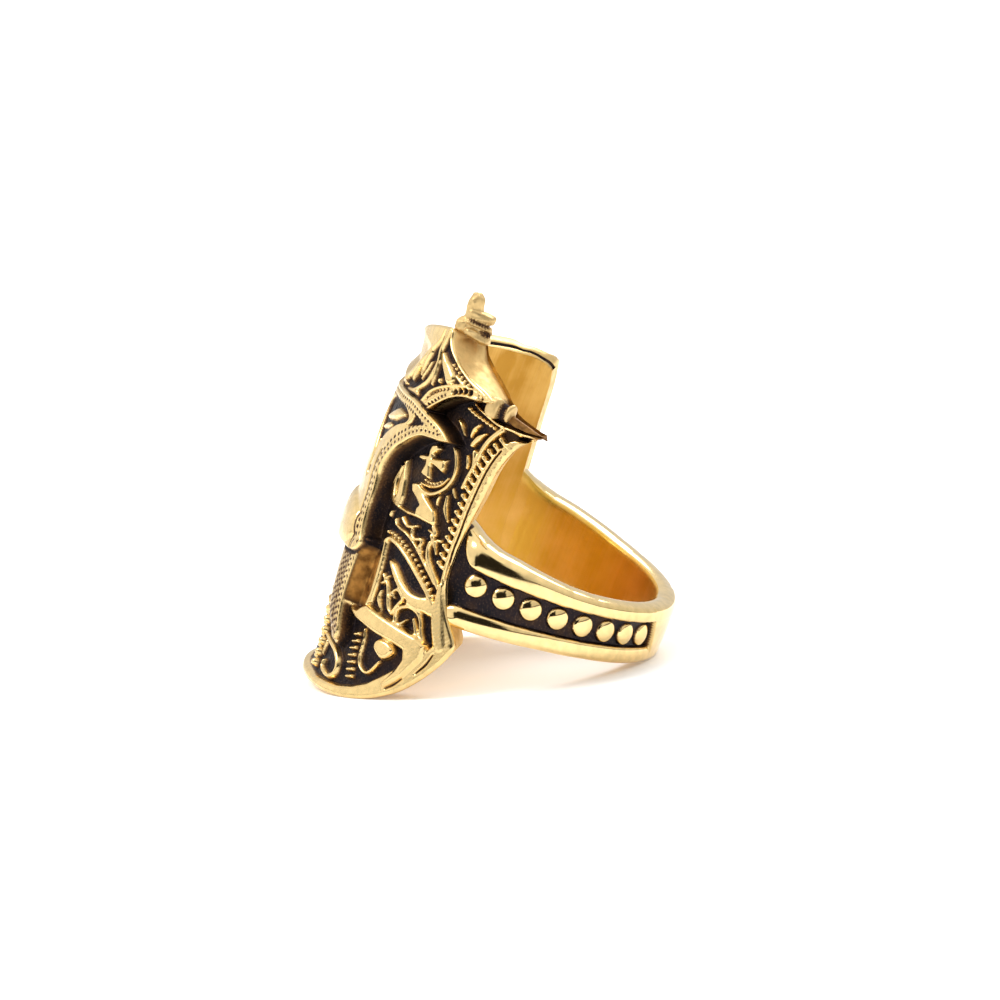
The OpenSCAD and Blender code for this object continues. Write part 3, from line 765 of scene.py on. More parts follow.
def plate_grid(shares, rise):
    """Angle and z over the plate, as rows from the lower edge up and columns from the far edge."""
    bottom, top = (resample(curve(edge), shares) for edge in (BOTTOM_EDGE, TOP_EDGE))
    left, right = (resample(curve(edge), rise) for edge in (FAR_EDGE, NEAR_EDGE))
    right += rise[:, None] * (top[-1] - right[-1])
    left += rise[:, None] * (top[0] - left[-1])
    return patch(bottom, top, left, right, shares, rise)


def plate_relief(grid):
    """The relief over the plate's grid, with a rough ground, a rounded rim and a dark tip."""
    flat = grid.reshape(-1, 2)
    shape = grid.shape[:2]
    angle, z = flat[:, 0] / ARC, flat[:, 1]
    relief = relief_of(angle, z)
    relief.height = soften(relief.height.reshape(shape), 2).ravel()
    relief.gold = soften(relief.gold.reshape(shape), 1).ravel()
    rng = np.random.default_rng(3)
    wave = np.zeros(len(z))
    for _ in range(WAVES):
        k = rng.normal(0, 7, 2)
        wave += np.sin(flat @ k + rng.uniform(0, 6.28))
    relief.height += (WAVE_IN_RECESS * (1 - relief.gold) + WAVE_ON_GOLD) * wave
    rim = np.vstack([grid[0], grid[1:, -1], grid[-1, -2::-1], grid[-2:0:-1, 0]])
    close = near_border(shape)
    d, _ = distance_to(flat[close], rim)
    relief.height[close] -= EDGE_ROUND * (1 - round_over(d / EDGE_ROUND))
    relief.gold[close] = np.maximum(relief.gold[close], smoothstep(d, 0.25, 0.1))
    tip = (angle > TIP_ANGLE) & (z > TIP_Z)
    relief.brown[tip] = 0.6
    relief.gold[tip] *= 0.1
    return relief


def near_border(shape, steps=24):
    """Indices of the places that lie within a few steps of a grid's border."""
    r, c = np.indices(shape)
    away = np.minimum(np.minimum(r, shape[0] - 1 - r), np.minimum(c, shape[1] - 1 - c))
    return np.nonzero((away < steps).ravel())[0]


def bore_turn(x):
    """Angle about the finger of a place on the bore, from its x."""
    return np.degrees(np.arccos(np.clip(x / BORE_R, -1, 1)))


def low_bore_angle(angle, x):
    """Angle about the finger where an outer point's lower cut face reaches the bore."""
    share = bore_turn(PLATE_X + BEND_R * math.cos(math.radians(BEND))) / BEND
    return np.sign(angle) * np.where(np.abs(angle) > BEND, bore_turn(x), np.abs(angle) * share)


def bore_points(outer, angle, shares, rise):
    """The coarser grid on the bore behind the outer face, with less metal at the near upper corner."""
    x, z = outer[:, :, 0], outer[:, :, 2]
    side = sorted((PLATE_X + LOW_CUT_R * math.cos(math.radians(a)), z0) for a, z0 in BOTTOM_EDGE if a > 0)
    low_angle = low_bore_angle(angle[0], x[0])
    low = np.column_stack([low_angle, from_table(side, BORE_R * np.cos(np.radians(low_angle)))])
    right = np.column_stack([bore_turn(x[:, -1]), z[:, -1]])
    left = np.column_stack([-bore_turn(x[:, 0]), z[:, 0]])
    low[0], low[-1] = left[0], right[0]
    high = angle[-1]
    top_angle = np.where(high > 0, high * right[-1, 0] / high[-1], high * left[-1, 0] / high[0])
    top = np.column_stack([top_angle, from_table(TOP_INSIDE, top_angle)])
    right[-1], left[-1] = top[-1], top[0]
    back = patch(low, top, left, right, shares, rise)
    turn = np.radians(back[:, :, 0])
    below = from_table(TOP_INSIDE, back[:, :, 0]) - back[:, :, 1]
    reach = BORE_R + (from_table(TOP_REACH, back[:, :, 0]) - BORE_R) * smoothstep(below, 1.4, 0)
    return np.stack([reach * np.cos(turn), reach * np.sin(turn), back[:, :, 1]], axis=2)


def plate_pieces(relief_gold, bore_gold, cut_gold, satin):
    """The tall plate in three parts that meet inside the metal, and the rail on the far wall."""
    shares = np.concatenate([np.linspace(0, 0.5, FAR_COLS), np.linspace(0.5, 1, NEAR_COLS)[1:]])
    rise = np.linspace(0, 1, ROWS)
    grid = plate_grid(shares, rise)
    relief = plate_relief(grid)
    shape = grid.shape[:2]
    angle = grid[:, :, 0] / ARC
    turn = np.radians(angle)
    radius = (PLATE_R + relief.height).reshape(shape)
    outer = np.stack([PLATE_X + radius * np.cos(turn), radius * np.sin(turn), grid[:, :, 1]], axis=2)
    gold, brown = relief.gold.reshape(shape), relief.brown.reshape(shape)
    few = slice(None, None, COARSE)
    inner = bore_points(outer[few, few], angle[few, few], shares[few], rise[few])
    rail_cols = SEAM // COARSE - RAIL_SHORT
    far_rim(satin, outer[-1, few][:rail_cols], inner[-1, :rail_cols])
    middle = ROWS // 2
    for name, row, col in (("plate_near_upper", slice(middle, None), slice(SEAM, None)),
                           ("plate_near_lower", slice(0, middle + 1), slice(SEAM, None)),
                           ("plate_far", slice(0, None), slice(0, SEAM + 1))):
        shell(name, outer[row, col], inner[shrink(row), shrink(col)], gold[row, col], brown[row, col],
              (relief_gold, bore_gold, cut_gold))


def shell(name, face, behind, gold, brown, materials):
    """A closed piece between its outer face, its coarser bore face and the cut faces round them."""
    size, back_size = face.shape[:2], behind.shape[:2]
    face, behind = face.reshape(-1, 3), behind.reshape(-1, 3)
    shown = grid_faces(*size)
    bored = grid_faces(*back_size, len(face), True)
    cut = stitch(border(*size), border(*back_size, len(face)), COARSE)
    kinds = [0] * len(shown) + [1] * len(bored) + [2] * len(cut)
    points = np.vstack([face, behind])
    # Painted shade behind the near upper corner: brown in place of gold there
    painted_shade = painted_corner_shade(behind[:, 1], behind[:, 2])
    mesh_object(name, points, shown + bored + cut, materials, kinds,
                np.concatenate([gold.ravel(), 1 - painted_shade]), np.concatenate([brown.ravel(), painted_shade]),
                np.degrees(np.arctan2(points[:, 1], points[:, 0])))


def painted_corner_shade(y, z):
    """Share of painted brown shade on the bore, behind the plate's near upper corner."""
    return 0.75 * smoothstep(y, 6.2, 7) * (z > 11) * smoothstep(z, 12.9, 12.3)


def shrink(part):
    """The same part of the coarse grid."""
    return slice(part.start // COARSE, None if part.stop is None else (part.stop - 1) // COARSE + 1)


def blob(place, turn, half, power=2.6, tilt=0.0, rough=0.02, seed=1, steps=28):
    """A rounded lump about a place given by angle, radius and z: half sizes outward, along and up."""
    lat = np.linspace(-math.pi / 2, math.pi / 2, steps // 2 + 1)[1:-1]
    lon = np.arange(steps) * 2 * math.pi / steps
    a, b = np.meshgrid(lat, lon, indexing="ij")
    unit = np.stack([np.cos(a) * np.cos(b), np.cos(a) * np.sin(b), np.sin(a)], axis=2).reshape(-1, 3)
    unit = np.vstack([unit, (0, 0, -1), (0, 0, 1)])
    size = (np.abs(unit) ** power).sum(1) ** (-1 / power)
    rng = np.random.default_rng(seed)
    lump = sum(np.sin(unit @ rng.normal(0, 5, 3) + rng.uniform(0, 6)) for _ in range(8))
    local = unit * size[:, None] * np.array(half) * (1 + rough * lump)[:, None]
    c, d = math.cos(math.radians(tilt)), math.sin(math.radians(tilt))
    local = local @ np.array([(c, 0, d), (0, 1, 0), (-d, 0, c)])
    turn = math.radians(turn)
    out, along = (math.cos(turn), math.sin(turn), 0), (-math.sin(turn), math.cos(turn), 0)
    angle, radius = math.radians(place[0]), place[1]
    where = np.array([PLATE_X + radius * math.cos(angle), radius * math.sin(angle), place[2]])
    points = where + local @ np.array([out, along, (0, 0, 1)])
    rows = len(lat)
    faces = tube_faces(rows, steps)[:-2]
    for k in range(steps):
        after = (k + 1) % steps
        faces.append((after, k, len(points) - 2))
        faces.append(((rows - 1) * steps + k, (rows - 1) * steps + after, len(points) - 1))
    return points, faces


def lumps(name, material, parts, grain=0.055):
    """Several rounded lumps melted into one casting: each a blob and its share of gold."""
    points, faces = [], []
    for (more, more_faces), _ in parts:
        start = sum(len(p) for p in points)
        points.append(more)
        faces += [tuple(start + i for i in face) for face in more_faces]
    mesh = bpy.data.meshes.new(name + "_draft")
    mesh.from_pydata(np.vstack(points).tolist(), [], faces)
    body = put(name + "_draft", mesh)
    melt = body.modifiers.new("melt", "REMESH")
    melt.mode = "VOXEL"
    melt.voxel_size = grain
    even = body.modifiers.new("even", "SMOOTH")
    even.factor = 0.5
    even.iterations = 8
    melted = body.evaluated_get(bpy.context.evaluated_depsgraph_get()).to_mesh()
    places = np.array([v.co[:] for v in melted.vertices])
    faces = [tuple(p.vertices) for p in melted.polygons]
    bpy.data.objects.remove(body)
    bpy.data.meshes.remove(mesh)
    away = np.column_stack([np.linalg.norm(places[:, None] - p[None], axis=2).min(1) for p in points])
    weight = np.exp(-(away - away.min(1)[:, None]) / 0.06)
    gold = (weight * np.array([share for _, share in parts])).sum(1) / weight.sum(1)
    mesh_object(name, places, faces, (material,), None, gold)


def top_pieces(cast_gold):
    """The masthead over the upper sail, and the yard's end at the sail's near corner."""
    lumps("masthead", cast_gold, (
        (blob((35.8, 13.45, 17.75), 20, (0.62, 0.62, 0.92), 2.2, -8, 0.03, 2), 0.95),
        (blob((35.6, 13.3, 16.95), 20, (0.64, 0.6, 0.85), 2.4, -8, 0.02, 3), 0.92),
        (blob((35.2, 13.5, 16.1), 30, (0.85, 0.55, 0.62), 2.4, -8, 0.02, 4), 0.92),
        (blob((38, 13.0, 17.12), -2, (0.99, 0.55, 0.38), 5, 0, 0.02, 5), 0.88),
        (blob((38.3, 13.0, 16.68), -2, (0.72, 0.52, 0.09), 5, 0, 0.0, 6), 0.0),
        (blob((38.2, 12.95, 16.5), -2, (0.98, 0.6, 0.1), 6, 0, 0.0, 7), 1.0),
        (blob((37.8, 12.9, 16.15), -2, (1.05, 0.5, 0.5), 4, 0, 0.02, 8), 0.72),
        (blob((38.2, 12.8, 15.75), 10, (1.1, 0.75, 0.4), 3, 12, 0.02, 9), 0.85),
        (blob((40.9, 12.6, 16.12), 0, (0.4, 0.2, 0.2), 2.2, 0, 0.02, 10), 0.0),
    ))
    lumps("yard_end", cast_gold, (
        (blob((61.7, 13.8, 12.4), 62, (0.55, 0.56, 0.78), 3.4, 0, 0.01, 11), 1.0),
        (blob((64.4, 13.5, 12.42), 64, (0.46, 0.6, 0.55), 2.6, 0, 0.01, 12), 0.0),
        (blob((66.9, 13.5, 12.5), 66, (0.58, 0.24, 0.68), 2.5, 0, 0.012, 13), 0.95),
    ))


# Rail round the top of the far wall: share across the wall and rise above it
FAR_RIM = [
    (-0.02, -0.7), (-0.02, -0.25), (0.02, 0), (0.09, 0.16), (0.2, 0.22), (0.36, 0.23), (0.49, 0.2),
    (0.505, 0.15), (0.53, 0), (0.57, 0), (0.61, 0.1), (0.67, 0.12), (0.78, 0.07), (0.89, -0.02),
    (0.97, -0.12), (0.998, -0.25), (0.9, -0.9),
]
# First and last of its points in the dark groove
RIM_GROOVE = (7, 9)
# How far the rail stands up, from the far corner on
RIM_LIFT = [(0, 0.12), (0.07, 0.25), (0.16, 0.42), (0.3, 0.25), (0.5, 0.1), (1, 0)]


def far_rim(satin, outer_edge, inner_edge):
    """A smooth double rail over the top of the far wall, with a dark groove between."""
    share, rise = np.array(FAR_RIM).T
    along = np.linspace(0, 1, len(outer_edge))
    front = smoothstep(along, 1, 0.9)[:, None]
    lift = from_table(RIM_LIFT, along)[:, None] * front
    across = outer_edge[:, None] + (inner_edge - outer_edge)[:, None] * share[None, :, None]
    raised = rise * (0.3 + 0.7 * front) + lift * smoothstep(share, 1, 0.6)
    across[:, :, 2] += np.where(rise > -0.2, raised, rise)
    steps, count = across.shape[:2]
    gold = np.ones((steps, count))
    gold[:, [0, -1]] = 0
    gold[:, RIM_GROOVE[0]:RIM_GROOVE[1] + 1] = 0
    mesh_object("far_rim", across.reshape(-1, 3), tube_faces(steps, count), (satin,), None, gold.ravel())


# Band: x of its middle, the radius of its crown and of its channel, then z of each edge by angle
BAND_X = 1.3
CROWN_R = 13.0
FLOOR_R = 12.45
BAND_TOP = [
    (70, 4.6), (78, 4.1), (82, 3.75), (86, 3.35), (90, 3.05), (95, 2.8), (103, 2.62), (110, 2.4),
    (123, 2.02), (133, 1.85), (157, 1.7), (180, 1.62),
]
BAND_BOTTOM = [
    (70, -3.4), (88, -3.4), (95, -3.32), (109, -3.05), (119, -2.85), (135, -2.72), (157, -2.7),
    (180, -2.7),
]
CHANNEL_TOP = [
    (70, 1.3), (88, 1.15), (99, 0.95), (109, 0.86), (120, 0.75), (145, 0.62), (170, 0.52), (180, 0.5),
]
CHANNEL_BOTTOM = [
    (70, -1.8), (88, -1.75), (97, -1.66), (107, -1.56), (118, -1.44), (129, -1.37), (141, -1.33),
    (180, -1.4),
]
# Beads in the channel: angles, radius, radius of their dome, and z by angle
BEAD_ANGLES = [91.8 + 9.75 * i for i in range(8)]
BEAD_R = 0.82
BEAD_CURVE = 1.5
BEAD_Z = [(90, 0.05), (110, -0.14), (130, -0.28), (160, -0.42)]
# Reach of the band to each side in degrees, where it dips under the plate, and rounding of its edges
BAND_ENDS = 104
DIP_ANGLE = 81.5
BAND_EDGE = 0.5
# Sections along the band, and rows round each: outside, bore and the lids between them
BAND_STEPS = 521
BAND_ROWS = 84
BORE_ROWS = 21
LID_ROWS = 5


def rail(z, low, high, arc, nose, nose_len):
    """Depth of a place inside a rail, from its sides and its rounded nose."""
    ahead = nose + nose_len - arc
    middle, half = (low + high) / 2, (high - low) / 2
    tip = half - np.hypot(np.maximum(ahead, 0) * half / nose_len, z - middle)
    return np.where(ahead > 0, tip, np.minimum(z - low, high - z))


def crown(radius, bend, off):
    """Height over the channel of a rail that bends away from its highest line."""
    return radius - (bend - np.sqrt(np.clip(bend ** 2 - off ** 2, 0, None))) - FLOOR_R


def band_relief(around, top, bottom, z):
    """Height over the channel's floor and gold share: two rails, the plain back and the beads."""
    c_top, c_low = (from_table(edge, around)[:, None] for edge in (CHANNEL_TOP, CHANNEL_BOTTOM))
    arc = np.radians(around)[:, None] * FLOOR_R + 0 * z
    nose = np.radians(85) * FLOOR_R - 0.3 * np.clip(z - 1.2, 0, 3)
    upper = rail(z, c_top, top + 0.5, arc, nose, 0.9)
    upper_h = crown(CROWN_R, 3.2, np.clip(z - c_top - 0.1, 0, 3)) * round_over(upper / 0.28)
    lower = rail(z, bottom - 0.1, c_low, arc, nose - 0.3, 1.2)
    middle = (bottom + c_low) / 2 - 0.15
    lower_h = crown(CROWN_R - 0.02, 1.7, np.clip(z - middle, -1.2, 1.2)) * round_over(lower / 0.22)
    end_arc = np.radians(165.5 - 4.5 * (z + 0.5) / 2.2) * FLOOR_R
    back = smoothstep(arc - end_arc, -0.05, 0.16)
    back_h = (CROWN_R - 0.02 * (z + 0.5) ** 2 - FLOOR_R) * back
    height = np.maximum.reduce([upper_h, lower_h, back_h])
    gold = np.maximum.reduce([smoothstep(upper, 0.03, 0.12), smoothstep(lower, 0.03, 0.1),
                              smoothstep(back, 0.3, 0.8)])
    foot = math.sqrt(BEAD_CURVE ** 2 - BEAD_R ** 2)
    for angle in BEAD_ANGLES:
        off = z - from_table(BEAD_Z, angle)
        d = np.hypot(arc - math.radians(angle) * FLOOR_R, off)
        dome = 0.2 - 0.1 * off + np.sqrt(np.clip(BEAD_CURVE ** 2 - d ** 2, 0, None)) - foot
        bead = dome * smoothstep(d, BEAD_R + 0.03, BEAD_R - 0.05)
        gold = np.maximum(gold, smoothstep(d, BEAD_R + 0.02, BEAD_R - 0.06))
        height = np.maximum(height, bead)
    return height * smoothstep(z - bottom, -0.05, 0.05), gold


def lid(start, end, bulge):
    """Rows between two edges, in a slight bow."""
    shares = np.arange(1, LID_ROWS) / LID_ROWS
    return [((1 - t) * start + t * end + np.array([0, 0, bulge * math.sin(math.pi * t)]))[:, None]
            for t in shares]


def band_bore(around, top, bottom, middle):
    """Rows of the band's inside, from its upper edge down, behind the outer face's middle line."""
    turn = np.arctan2(middle[:, 1], middle[:, 0])[:, None]
    z = top + (bottom - top) * np.linspace(0.02, 0.98, BORE_ROWS)[None]
    soft = 0.16 * (np.abs(np.linspace(-1, 1, BORE_ROWS)) ** 12)[None]
    bore = BORE_R + (soft + 0.03 * smoothstep(around, 108, 96)[:, None])
    return np.stack([bore * np.cos(turn), bore * np.sin(turn), z], axis=2)


def band(polished, bore_gold):
    """Band behind the plate: two rounded rails, a dark channel with beads, and a plain back."""
    psi = np.linspace(-BAND_ENDS, BAND_ENDS, BAND_STEPS)
    around = 180 - np.abs(psi)
    top, bottom = (from_table(edge, around)[:, None] for edge in (BAND_TOP, BAND_BOTTOM))
    z = bottom + (top - bottom) * np.linspace(0, 1, BAND_ROWS)[None]
    height, gold = band_relief(around, top, bottom, z)
    droop = BAND_EDGE * (2 - round_over((z - bottom) / BAND_EDGE) - round_over((top - z) / BAND_EDGE))
    radius = FLOOR_R - 0.4 * smoothstep(around, 90, 83)[:, None] + height - droop
    a = np.radians(around)[:, None]
    shift = BAND_X - PLATE_X
    within = np.sqrt((PLATE_R - 0.3) ** 2 - (shift * np.sin(a)) ** 2) - shift * np.cos(a)
    radius = np.where(around[:, None] < DIP_ANGLE, np.minimum(radius, within), radius)
    place = np.radians(psi)[:, None] + math.pi + 0 * z
    outer = np.stack([BAND_X + radius * np.cos(place), -radius * np.sin(place), z], axis=2)
    inner = band_bore(around, top, bottom, outer[:, BAND_ROWS // 2])
    loop = [outer, *lid(outer[:, -1], inner[:, 0], 0.1), inner, *lid(inner[:, -1], outer[:, 0], -0.08)]
    section = np.concatenate(loop, axis=1)
    steps, count = section.shape[:2]
    first = BAND_ROWS + LID_ROWS - 1
    kinds = [1 if first <= j < first + BORE_ROWS - 1 else 0 for j in range(count)] * (steps - 1) + [0, 0]
    shares = np.ones((steps, count))
    shares[:, :BAND_ROWS] = gold
    points = section.reshape(-1, 3)
    mesh_object("band", points, tube_faces(steps, count), (polished, bore_gold), kinds, shares.ravel(),
                None, np.degrees(np.arctan2(points[:, 1], -points[:, 0])))


# Colours
GOLD = (0.83, 0.60, 0.265, 1)
PALE_GOLD = (0.92, 0.68, 0.31, 1)
DULL_GOLD = (0.77, 0.54, 0.22, 1)
# Painted shade: a darker copy of the gold for the masthead and the yard's end
SHADE_DIMMED_GOLD = (0.66, 0.47, 0.21, 1)
DEEP_GOLD = (0.78, 0.475, 0.07, 1)
WARM_GOLD = (0.90, 0.57, 0.16, 1)
SHADED_GOLD = (0.42, 0.21, 0.032, 1)
SHADED_WARM = (0.60, 0.35, 0.09, 1)
BLACK = (0.020, 0.015, 0.017, 1)
UMBER = (0.17, 0.085, 0.035, 1)
# Browns for the brown vertex value: painted shade beside the prow and behind the near corner, and the
# plate's dark tip
BROWN = (0.15, 0.065, 0.015, 1)
ORANGE_BROWN = (0.52, 0.26, 0.065, 1)
DUST = (0.13, 0.085, 0.055, 1)
INK = (0.011, 0.011, 0.014, 1)
SOOT = (0.050, 0.027, 0.015, 1)
# The light tent round the ring, by height and beside it, and its dark openings
TENT_LOW = (0.76, 0.75, 0.73, 1)
TENT_HIGH = (1.15, 1.14, 1.12, 1)
TENT_BESIDE = (1.24, 1.23, 1.2, 1)
TENT_DARK = (0.02, 0.018, 0.016, 1)


class Nodes:
    """Shorthand for building a node tree."""

    def __init__(self, tree):
        self.tree = tree

    def add(self, kind, **settings):
        node = self.tree.nodes.new(kind)
        for key, value in settings.items():
            if key in node.inputs:
                node.inputs[key].default_value = value
            else:
                setattr(node, key, value)
        return node

    def link(self, out, into):
        self.tree.links.new(out, into)

    def place(self, kind="Object"):
        return self.add("ShaderNodeTexCoord").outputs[kind]

    def vertex(self, name):
        return self.add("ShaderNodeAttribute", attribute_name=name).outputs["Fac"]

    def noise(self, scale, detail=4.0):
        """Noise in object space, in cells per metre."""
        node = self.add("ShaderNodeTexNoise", Scale=scale, Detail=detail)
        self.link(self.place(), node.inputs["Vector"])
        return node.outputs["Fac"]

    def streaks(self, value, scale):
        """Noise along one value."""
        node = self.add("ShaderNodeTexNoise", noise_dimensions="1D")
        set_inputs(node, Scale=scale, Detail=3)
        self.link(value, node.inputs["W"])
        return node.outputs["Fac"]

    def ramp(self, value, low, high, to_low=0.0, to_high=1.0):
        node = self.add("ShaderNodeMapRange")
        set_inputs(node, From_Min=low, From_Max=high, To_Min=to_low, To_Max=to_high)
        self.link(value, node.inputs["Value"])
        return node.outputs["Result"]

    def times(self, a, b):
        return self.math("MULTIPLY", a, b)

    def math(self, kind, a, b):
        node = self.add("ShaderNodeMath", operation=kind)
        for socket, value in zip(node.inputs, (a, b)):
            self.feed(socket, value)
        return node.outputs["Value"]

    def mix(self, share, a, b):
        node = self.add("ShaderNodeMix", data_type="RGBA")
        for name, kind, value in (("Factor", "VALUE", share), ("A", "RGBA", a), ("B", "RGBA", b)):
            self.feed(next(s for s in node.inputs if s.name == name and s.type == kind), value)
        return next(s for s in node.outputs if s.type == "RGBA")

    def feed(self, socket, value):
        if isinstance(value, (tuple, float, int)):
            socket.default_value = value
        else:
            self.link(value, socket)


def metal(name):
    """A new metal, its nodes and its shader."""
    material = bpy.data.materials.new(name)
    material.use_nodes = True
    shader = material.node_tree.nodes["Principled BSDF"]
    shader.inputs["Metallic"].default_value = 1.0
    return material, Nodes(material.node_tree), shader


def antiqued(name, colour, rough, speckle, bump=0.01):
    """Gold over blackened recesses: the vertex values say where each shows, and noise breaks it up."""
    material, n, shader = metal(name)
    fine, coarse, patches = n.noise(9000, 3), n.noise(1500), n.noise(620)
    worn = n.math("ADD", n.vertex("gold"), n.ramp(fine, 0.3, 0.7, -speckle, speckle))
    dull, bright = n.ramp(worn, 0.08, 0.5), n.ramp(worn, 0.42, 0.78)
    blend = n.ramp(coarse, 0.35, 0.65)
    tone = n.mix(blend, colour, tuple(0.85 * c for c in colour[:3]) + (1,))
    ground = n.mix(n.ramp(patches, 0.3, 0.48), INK, BLACK)
    ground = n.mix(n.ramp(patches, 0.5, 0.72), ground, SOOT)
    dusty = n.mix(n.ramp(fine, 0.56, 0.85), ground, DUST)
    # Brown where the vertex value asks: painted shade beside the prow and behind the near corner, and the
    # plate's dark tip
    brown_mix = n.mix(blend, BROWN, ORANGE_BROWN)
    recess = n.mix(dull, n.mix(n.vertex("brown"), dusty, brown_mix), UMBER)
    n.link(n.mix(bright, recess, tone), shader.inputs["Base Color"])
    smooth = n.ramp(coarse, 0.3, 0.7, rough * 0.8, rough * 1.3)
    matte = n.times(n.math("SUBTRACT", 1.0, bright), 0.3)
    n.link(n.math("ADD", smooth, matte), shader.inputs["Roughness"])
    roughen(n, shader, fine, bump)
    return material


def brushed(name, low, high, rough, bump=0.004):
    """Gold with soft streaks along the finger, darker where the plate shades the bore."""
    material, n, shader = metal(name)
    around = n.vertex("around")
    broad, thin = n.streaks(around, 0.09), n.streaks(around, 0.9)
    cloud = n.ramp(n.noise(260, 6), 0.32, 0.68, -0.7, 0.7)
    share = n.math("ADD", n.ramp(broad, 0.35, 0.65, 0.2, 0.8), n.ramp(thin, 0.3, 0.7, -0.14, 0.14))
    share = n.ramp(n.math("ADD", share, cloud), 0, 1)
    along = n.add("ShaderNodeVectorMath", operation="DOT_PRODUCT")
    n.link(n.place(), along.inputs[0])
    along.inputs[1].default_value = FINGER.tolist()
    start = float(MIDDLE @ FINGER)
    shaded = n.ramp(along.outputs["Value"], start + 0.5 * MM, start + 7 * MM)
    colour = n.mix(shaded, n.mix(share, low, high), n.mix(share, SHADED_GOLD, SHADED_WARM))
    n.link(colour, shader.inputs["Base Color"])
    n.link(n.ramp(thin, 0.3, 0.7, rough * 0.85, rough * 1.2), shader.inputs["Roughness"])
    roughen(n, shader, n.noise(7000, 3), bump)
    return material


def roughen(n, shader, texture, depth):
    """A faint grain, its depth in millimetres."""
    node = n.add("ShaderNodeBump", Strength=0.35, Distance=depth * MM)
    n.link(texture, node.inputs["Height"])
    n.link(node.outputs["Normal"], shader.inputs["Normal"])


def paper_floor():
    """Pale matt floor under the ring."""
    mesh = bpy.data.meshes.new("floor")
    size = 4.0
    corners = [(-size, -size, 0), (size, -size, 0), (size, size, 0), (-size, size, 0)]
    mesh.from_pydata(corners, [], [(0, 1, 2, 3)])
    floor = put("floor", mesh)
    paper = bpy.data.materials.new("paper")
    paper.use_nodes = True
    shader = paper.node_tree.nodes["Principled BSDF"]
    set_inputs(shader, Base_Color=(0.93, 0.93, 0.93, 1), Roughness=0.7, Specular_IOR_Level=0.1,
               Emission_Color=(1, 1, 1, 1), Emission_Strength=0.14)
    mesh.materials.append(paper)


def light_tent():
    """Bright all round, with a dark opening towards the camera and a low dark gap, but not behind."""
    world = bpy.data.worlds.new("studio")
    bpy.context.scene.world = world
    world.use_nodes = True
    n = Nodes(world.node_tree)
    light = world.node_tree.nodes["Background"]
    place = n.place("Generated")
    split = n.add("ShaderNodeSeparateXYZ")
    n.link(place, split.inputs[0])
    ragged = n.add("ShaderNodeTexNoise", Scale=3.0)
    n.link(place, ragged.inputs["Vector"])
    stray = n.ramp(ragged.outputs["Fac"], 0.3, 0.7, -0.14, 0.14)
    height = split.outputs["Z"]
    azimuth = n.math("ABSOLUTE", n.math("ARCTAN2", split.outputs["Y"], split.outputs["X"]), 0.0)
    top = n.ramp(n.math("ADD", height, stray), 0.42, 0.56, 1.0, 0.0)
    opening = n.times(n.ramp(height, 0.0, 0.03), top)
    sides = n.ramp(n.math("ADD", azimuth, stray), 0.45, 0.6, 1.0, 0.0)
    opening = n.times(opening, sides)
    gap = n.times(n.ramp(height, 0.01, 0.03), n.ramp(height, 0.07, 0.1, 1.0, 0.0))
    gap = n.times(gap, n.ramp(azimuth, 1.9, 2.2, 1.0, 0.0))
    tent = n.mix(n.ramp(height, 0.3, 0.8), TENT_LOW, TENT_HIGH)
    beside = n.times(n.ramp(split.outputs["Y"], -0.35, -0.8), n.ramp(height, 0.4, 0.6, 1.0, 0.0))
    tent = n.mix(beside, tent, TENT_BESIDE)
    n.link(n.mix(n.math("MAXIMUM", opening, gap), tent, TENT_DARK), light.inputs["Color"])
    light.inputs["Strength"].default_value = 1.05


def lamps():
    """Two soft round lamps: name, place and power."""
    for name, place, power in (("key", (0.25, -0.5, 0.8), 4.8), ("fill", (-0.6, 0.2, 0.6), 3.5)):
        data = bpy.data.lights.new(name, "AREA")
        data.shape = "DISK"
        data.size = 0.5
        data.energy = power
        lamp = put(name, data)
        lamp.location = place
        lamp.rotation_mode = "QUATERNION"
        lamp.rotation_quaternion = (-Vector(place)).to_track_quat("-Z", "Y")


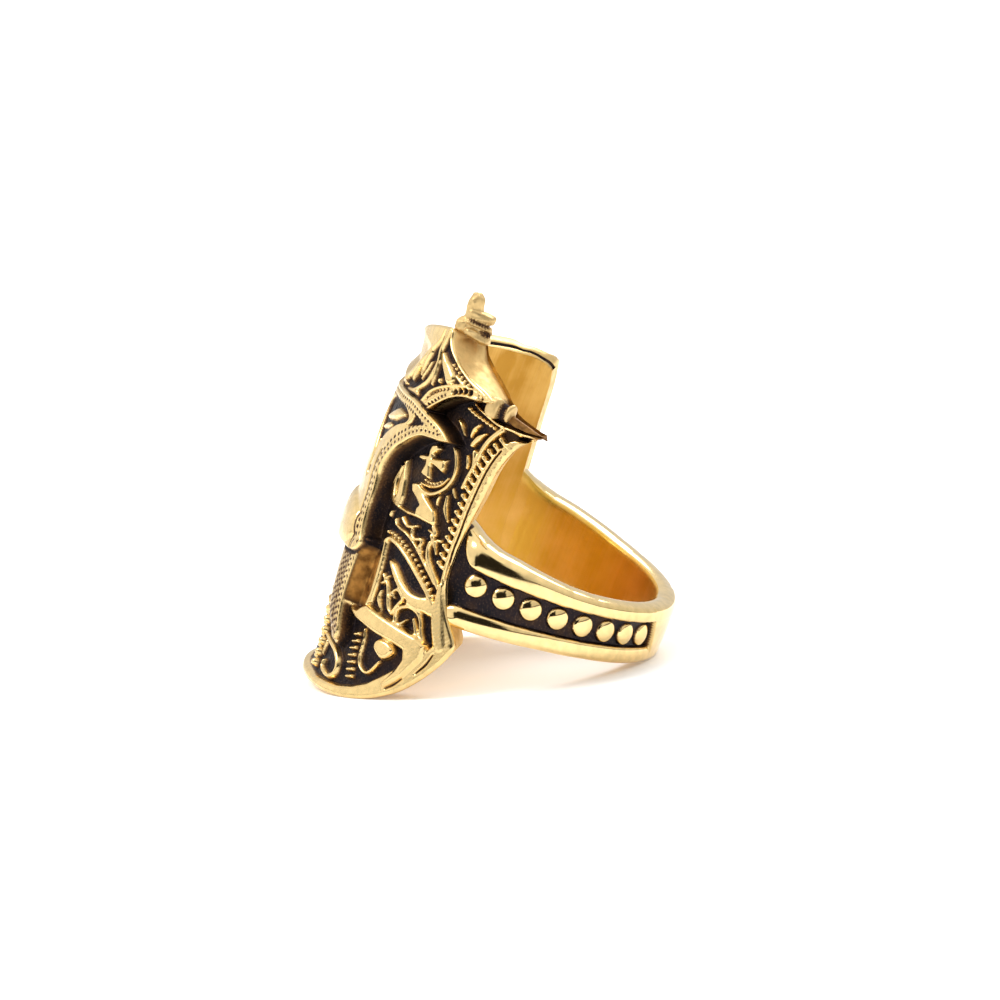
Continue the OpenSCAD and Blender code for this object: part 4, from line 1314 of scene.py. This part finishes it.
# Where the photo was taken from, in degrees: round the finger from the front, above, and rolled
PHOTO_AROUND = 95.5
PHOTO_ABOVE = 13.3
PHOTO_ROLL = 22
PHOTO_PIXELS = 1000
PIXELS_PER_MM = 14
# Middle of the photo from the middle of the ring, right and up in millimetres
PHOTO_MIDDLE = (-1.30, 4.28)
# Distance of the camera in metres, and width of its sensor in millimetres
CAMERA_AWAY = 1.2
SENSOR = 36


def photo_camera():
    """The camera where the photo was taken from, so far as the ring shows."""
    data = bpy.data.cameras.new("camera")
    camera = put("camera", data)
    bpy.context.scene.camera = camera
    around, above, roll = (math.radians(a) for a in (PHOTO_AROUND, PHOTO_ABOVE, PHOTO_ROLL))
    outward = math.cos(around) * FRONT + math.sin(around) * SIDE
    level = math.cos(around) * SIDE - math.sin(around) * FRONT
    back = math.cos(above) * outward + math.sin(above) * FINGER
    upright = math.cos(above) * FINGER - math.sin(above) * outward
    right = math.cos(roll) * level + math.sin(roll) * upright
    up = math.cos(roll) * upright - math.sin(roll) * level
    centre = MIDDLE + (right * PHOTO_MIDDLE[0] + up * PHOTO_MIDDLE[1]) * MM
    data.sensor_width = SENSOR
    data.lens = SENSOR * CAMERA_AWAY / (PHOTO_PIXELS / PIXELS_PER_MM * MM)
    data.clip_start = 0.05
    data.clip_end = 20
    spin = Matrix((right, up, back)).transposed().to_4x4()
    camera.matrix_world = Matrix.Translation(centre + back * CAMERA_AWAY) @ spin


def main():
    paper_floor()
    light_tent()
    lamps()
    photo_camera()
    bpy.context.scene.view_settings.view_transform = "Standard"
    relief_gold = antiqued("relief_gold", GOLD, 0.22, 0.09, 0.0035)
    polished = antiqued("polished_gold", PALE_GOLD, 0.09, 0.05, 0.002)
    # The masthead and the yard's end take the darker gold: painted shade
    cast_gold = antiqued("cast_gold", SHADE_DIMMED_GOLD, 0.46, 0.2, 0.03)
    bore_gold = brushed("bore_gold", DEEP_GOLD, WARM_GOLD, 0.38)
    cut_gold = antiqued("cut_gold", GOLD, 0.6, 0.12, 0.015)
    satin = antiqued("satin_gold", DULL_GOLD, 0.34, 0.06, 0.006)
    plate_pieces(relief_gold, bore_gold, cut_gold, satin)
    top_pieces(cast_gold)
    band(polished, bore_gold)


main()
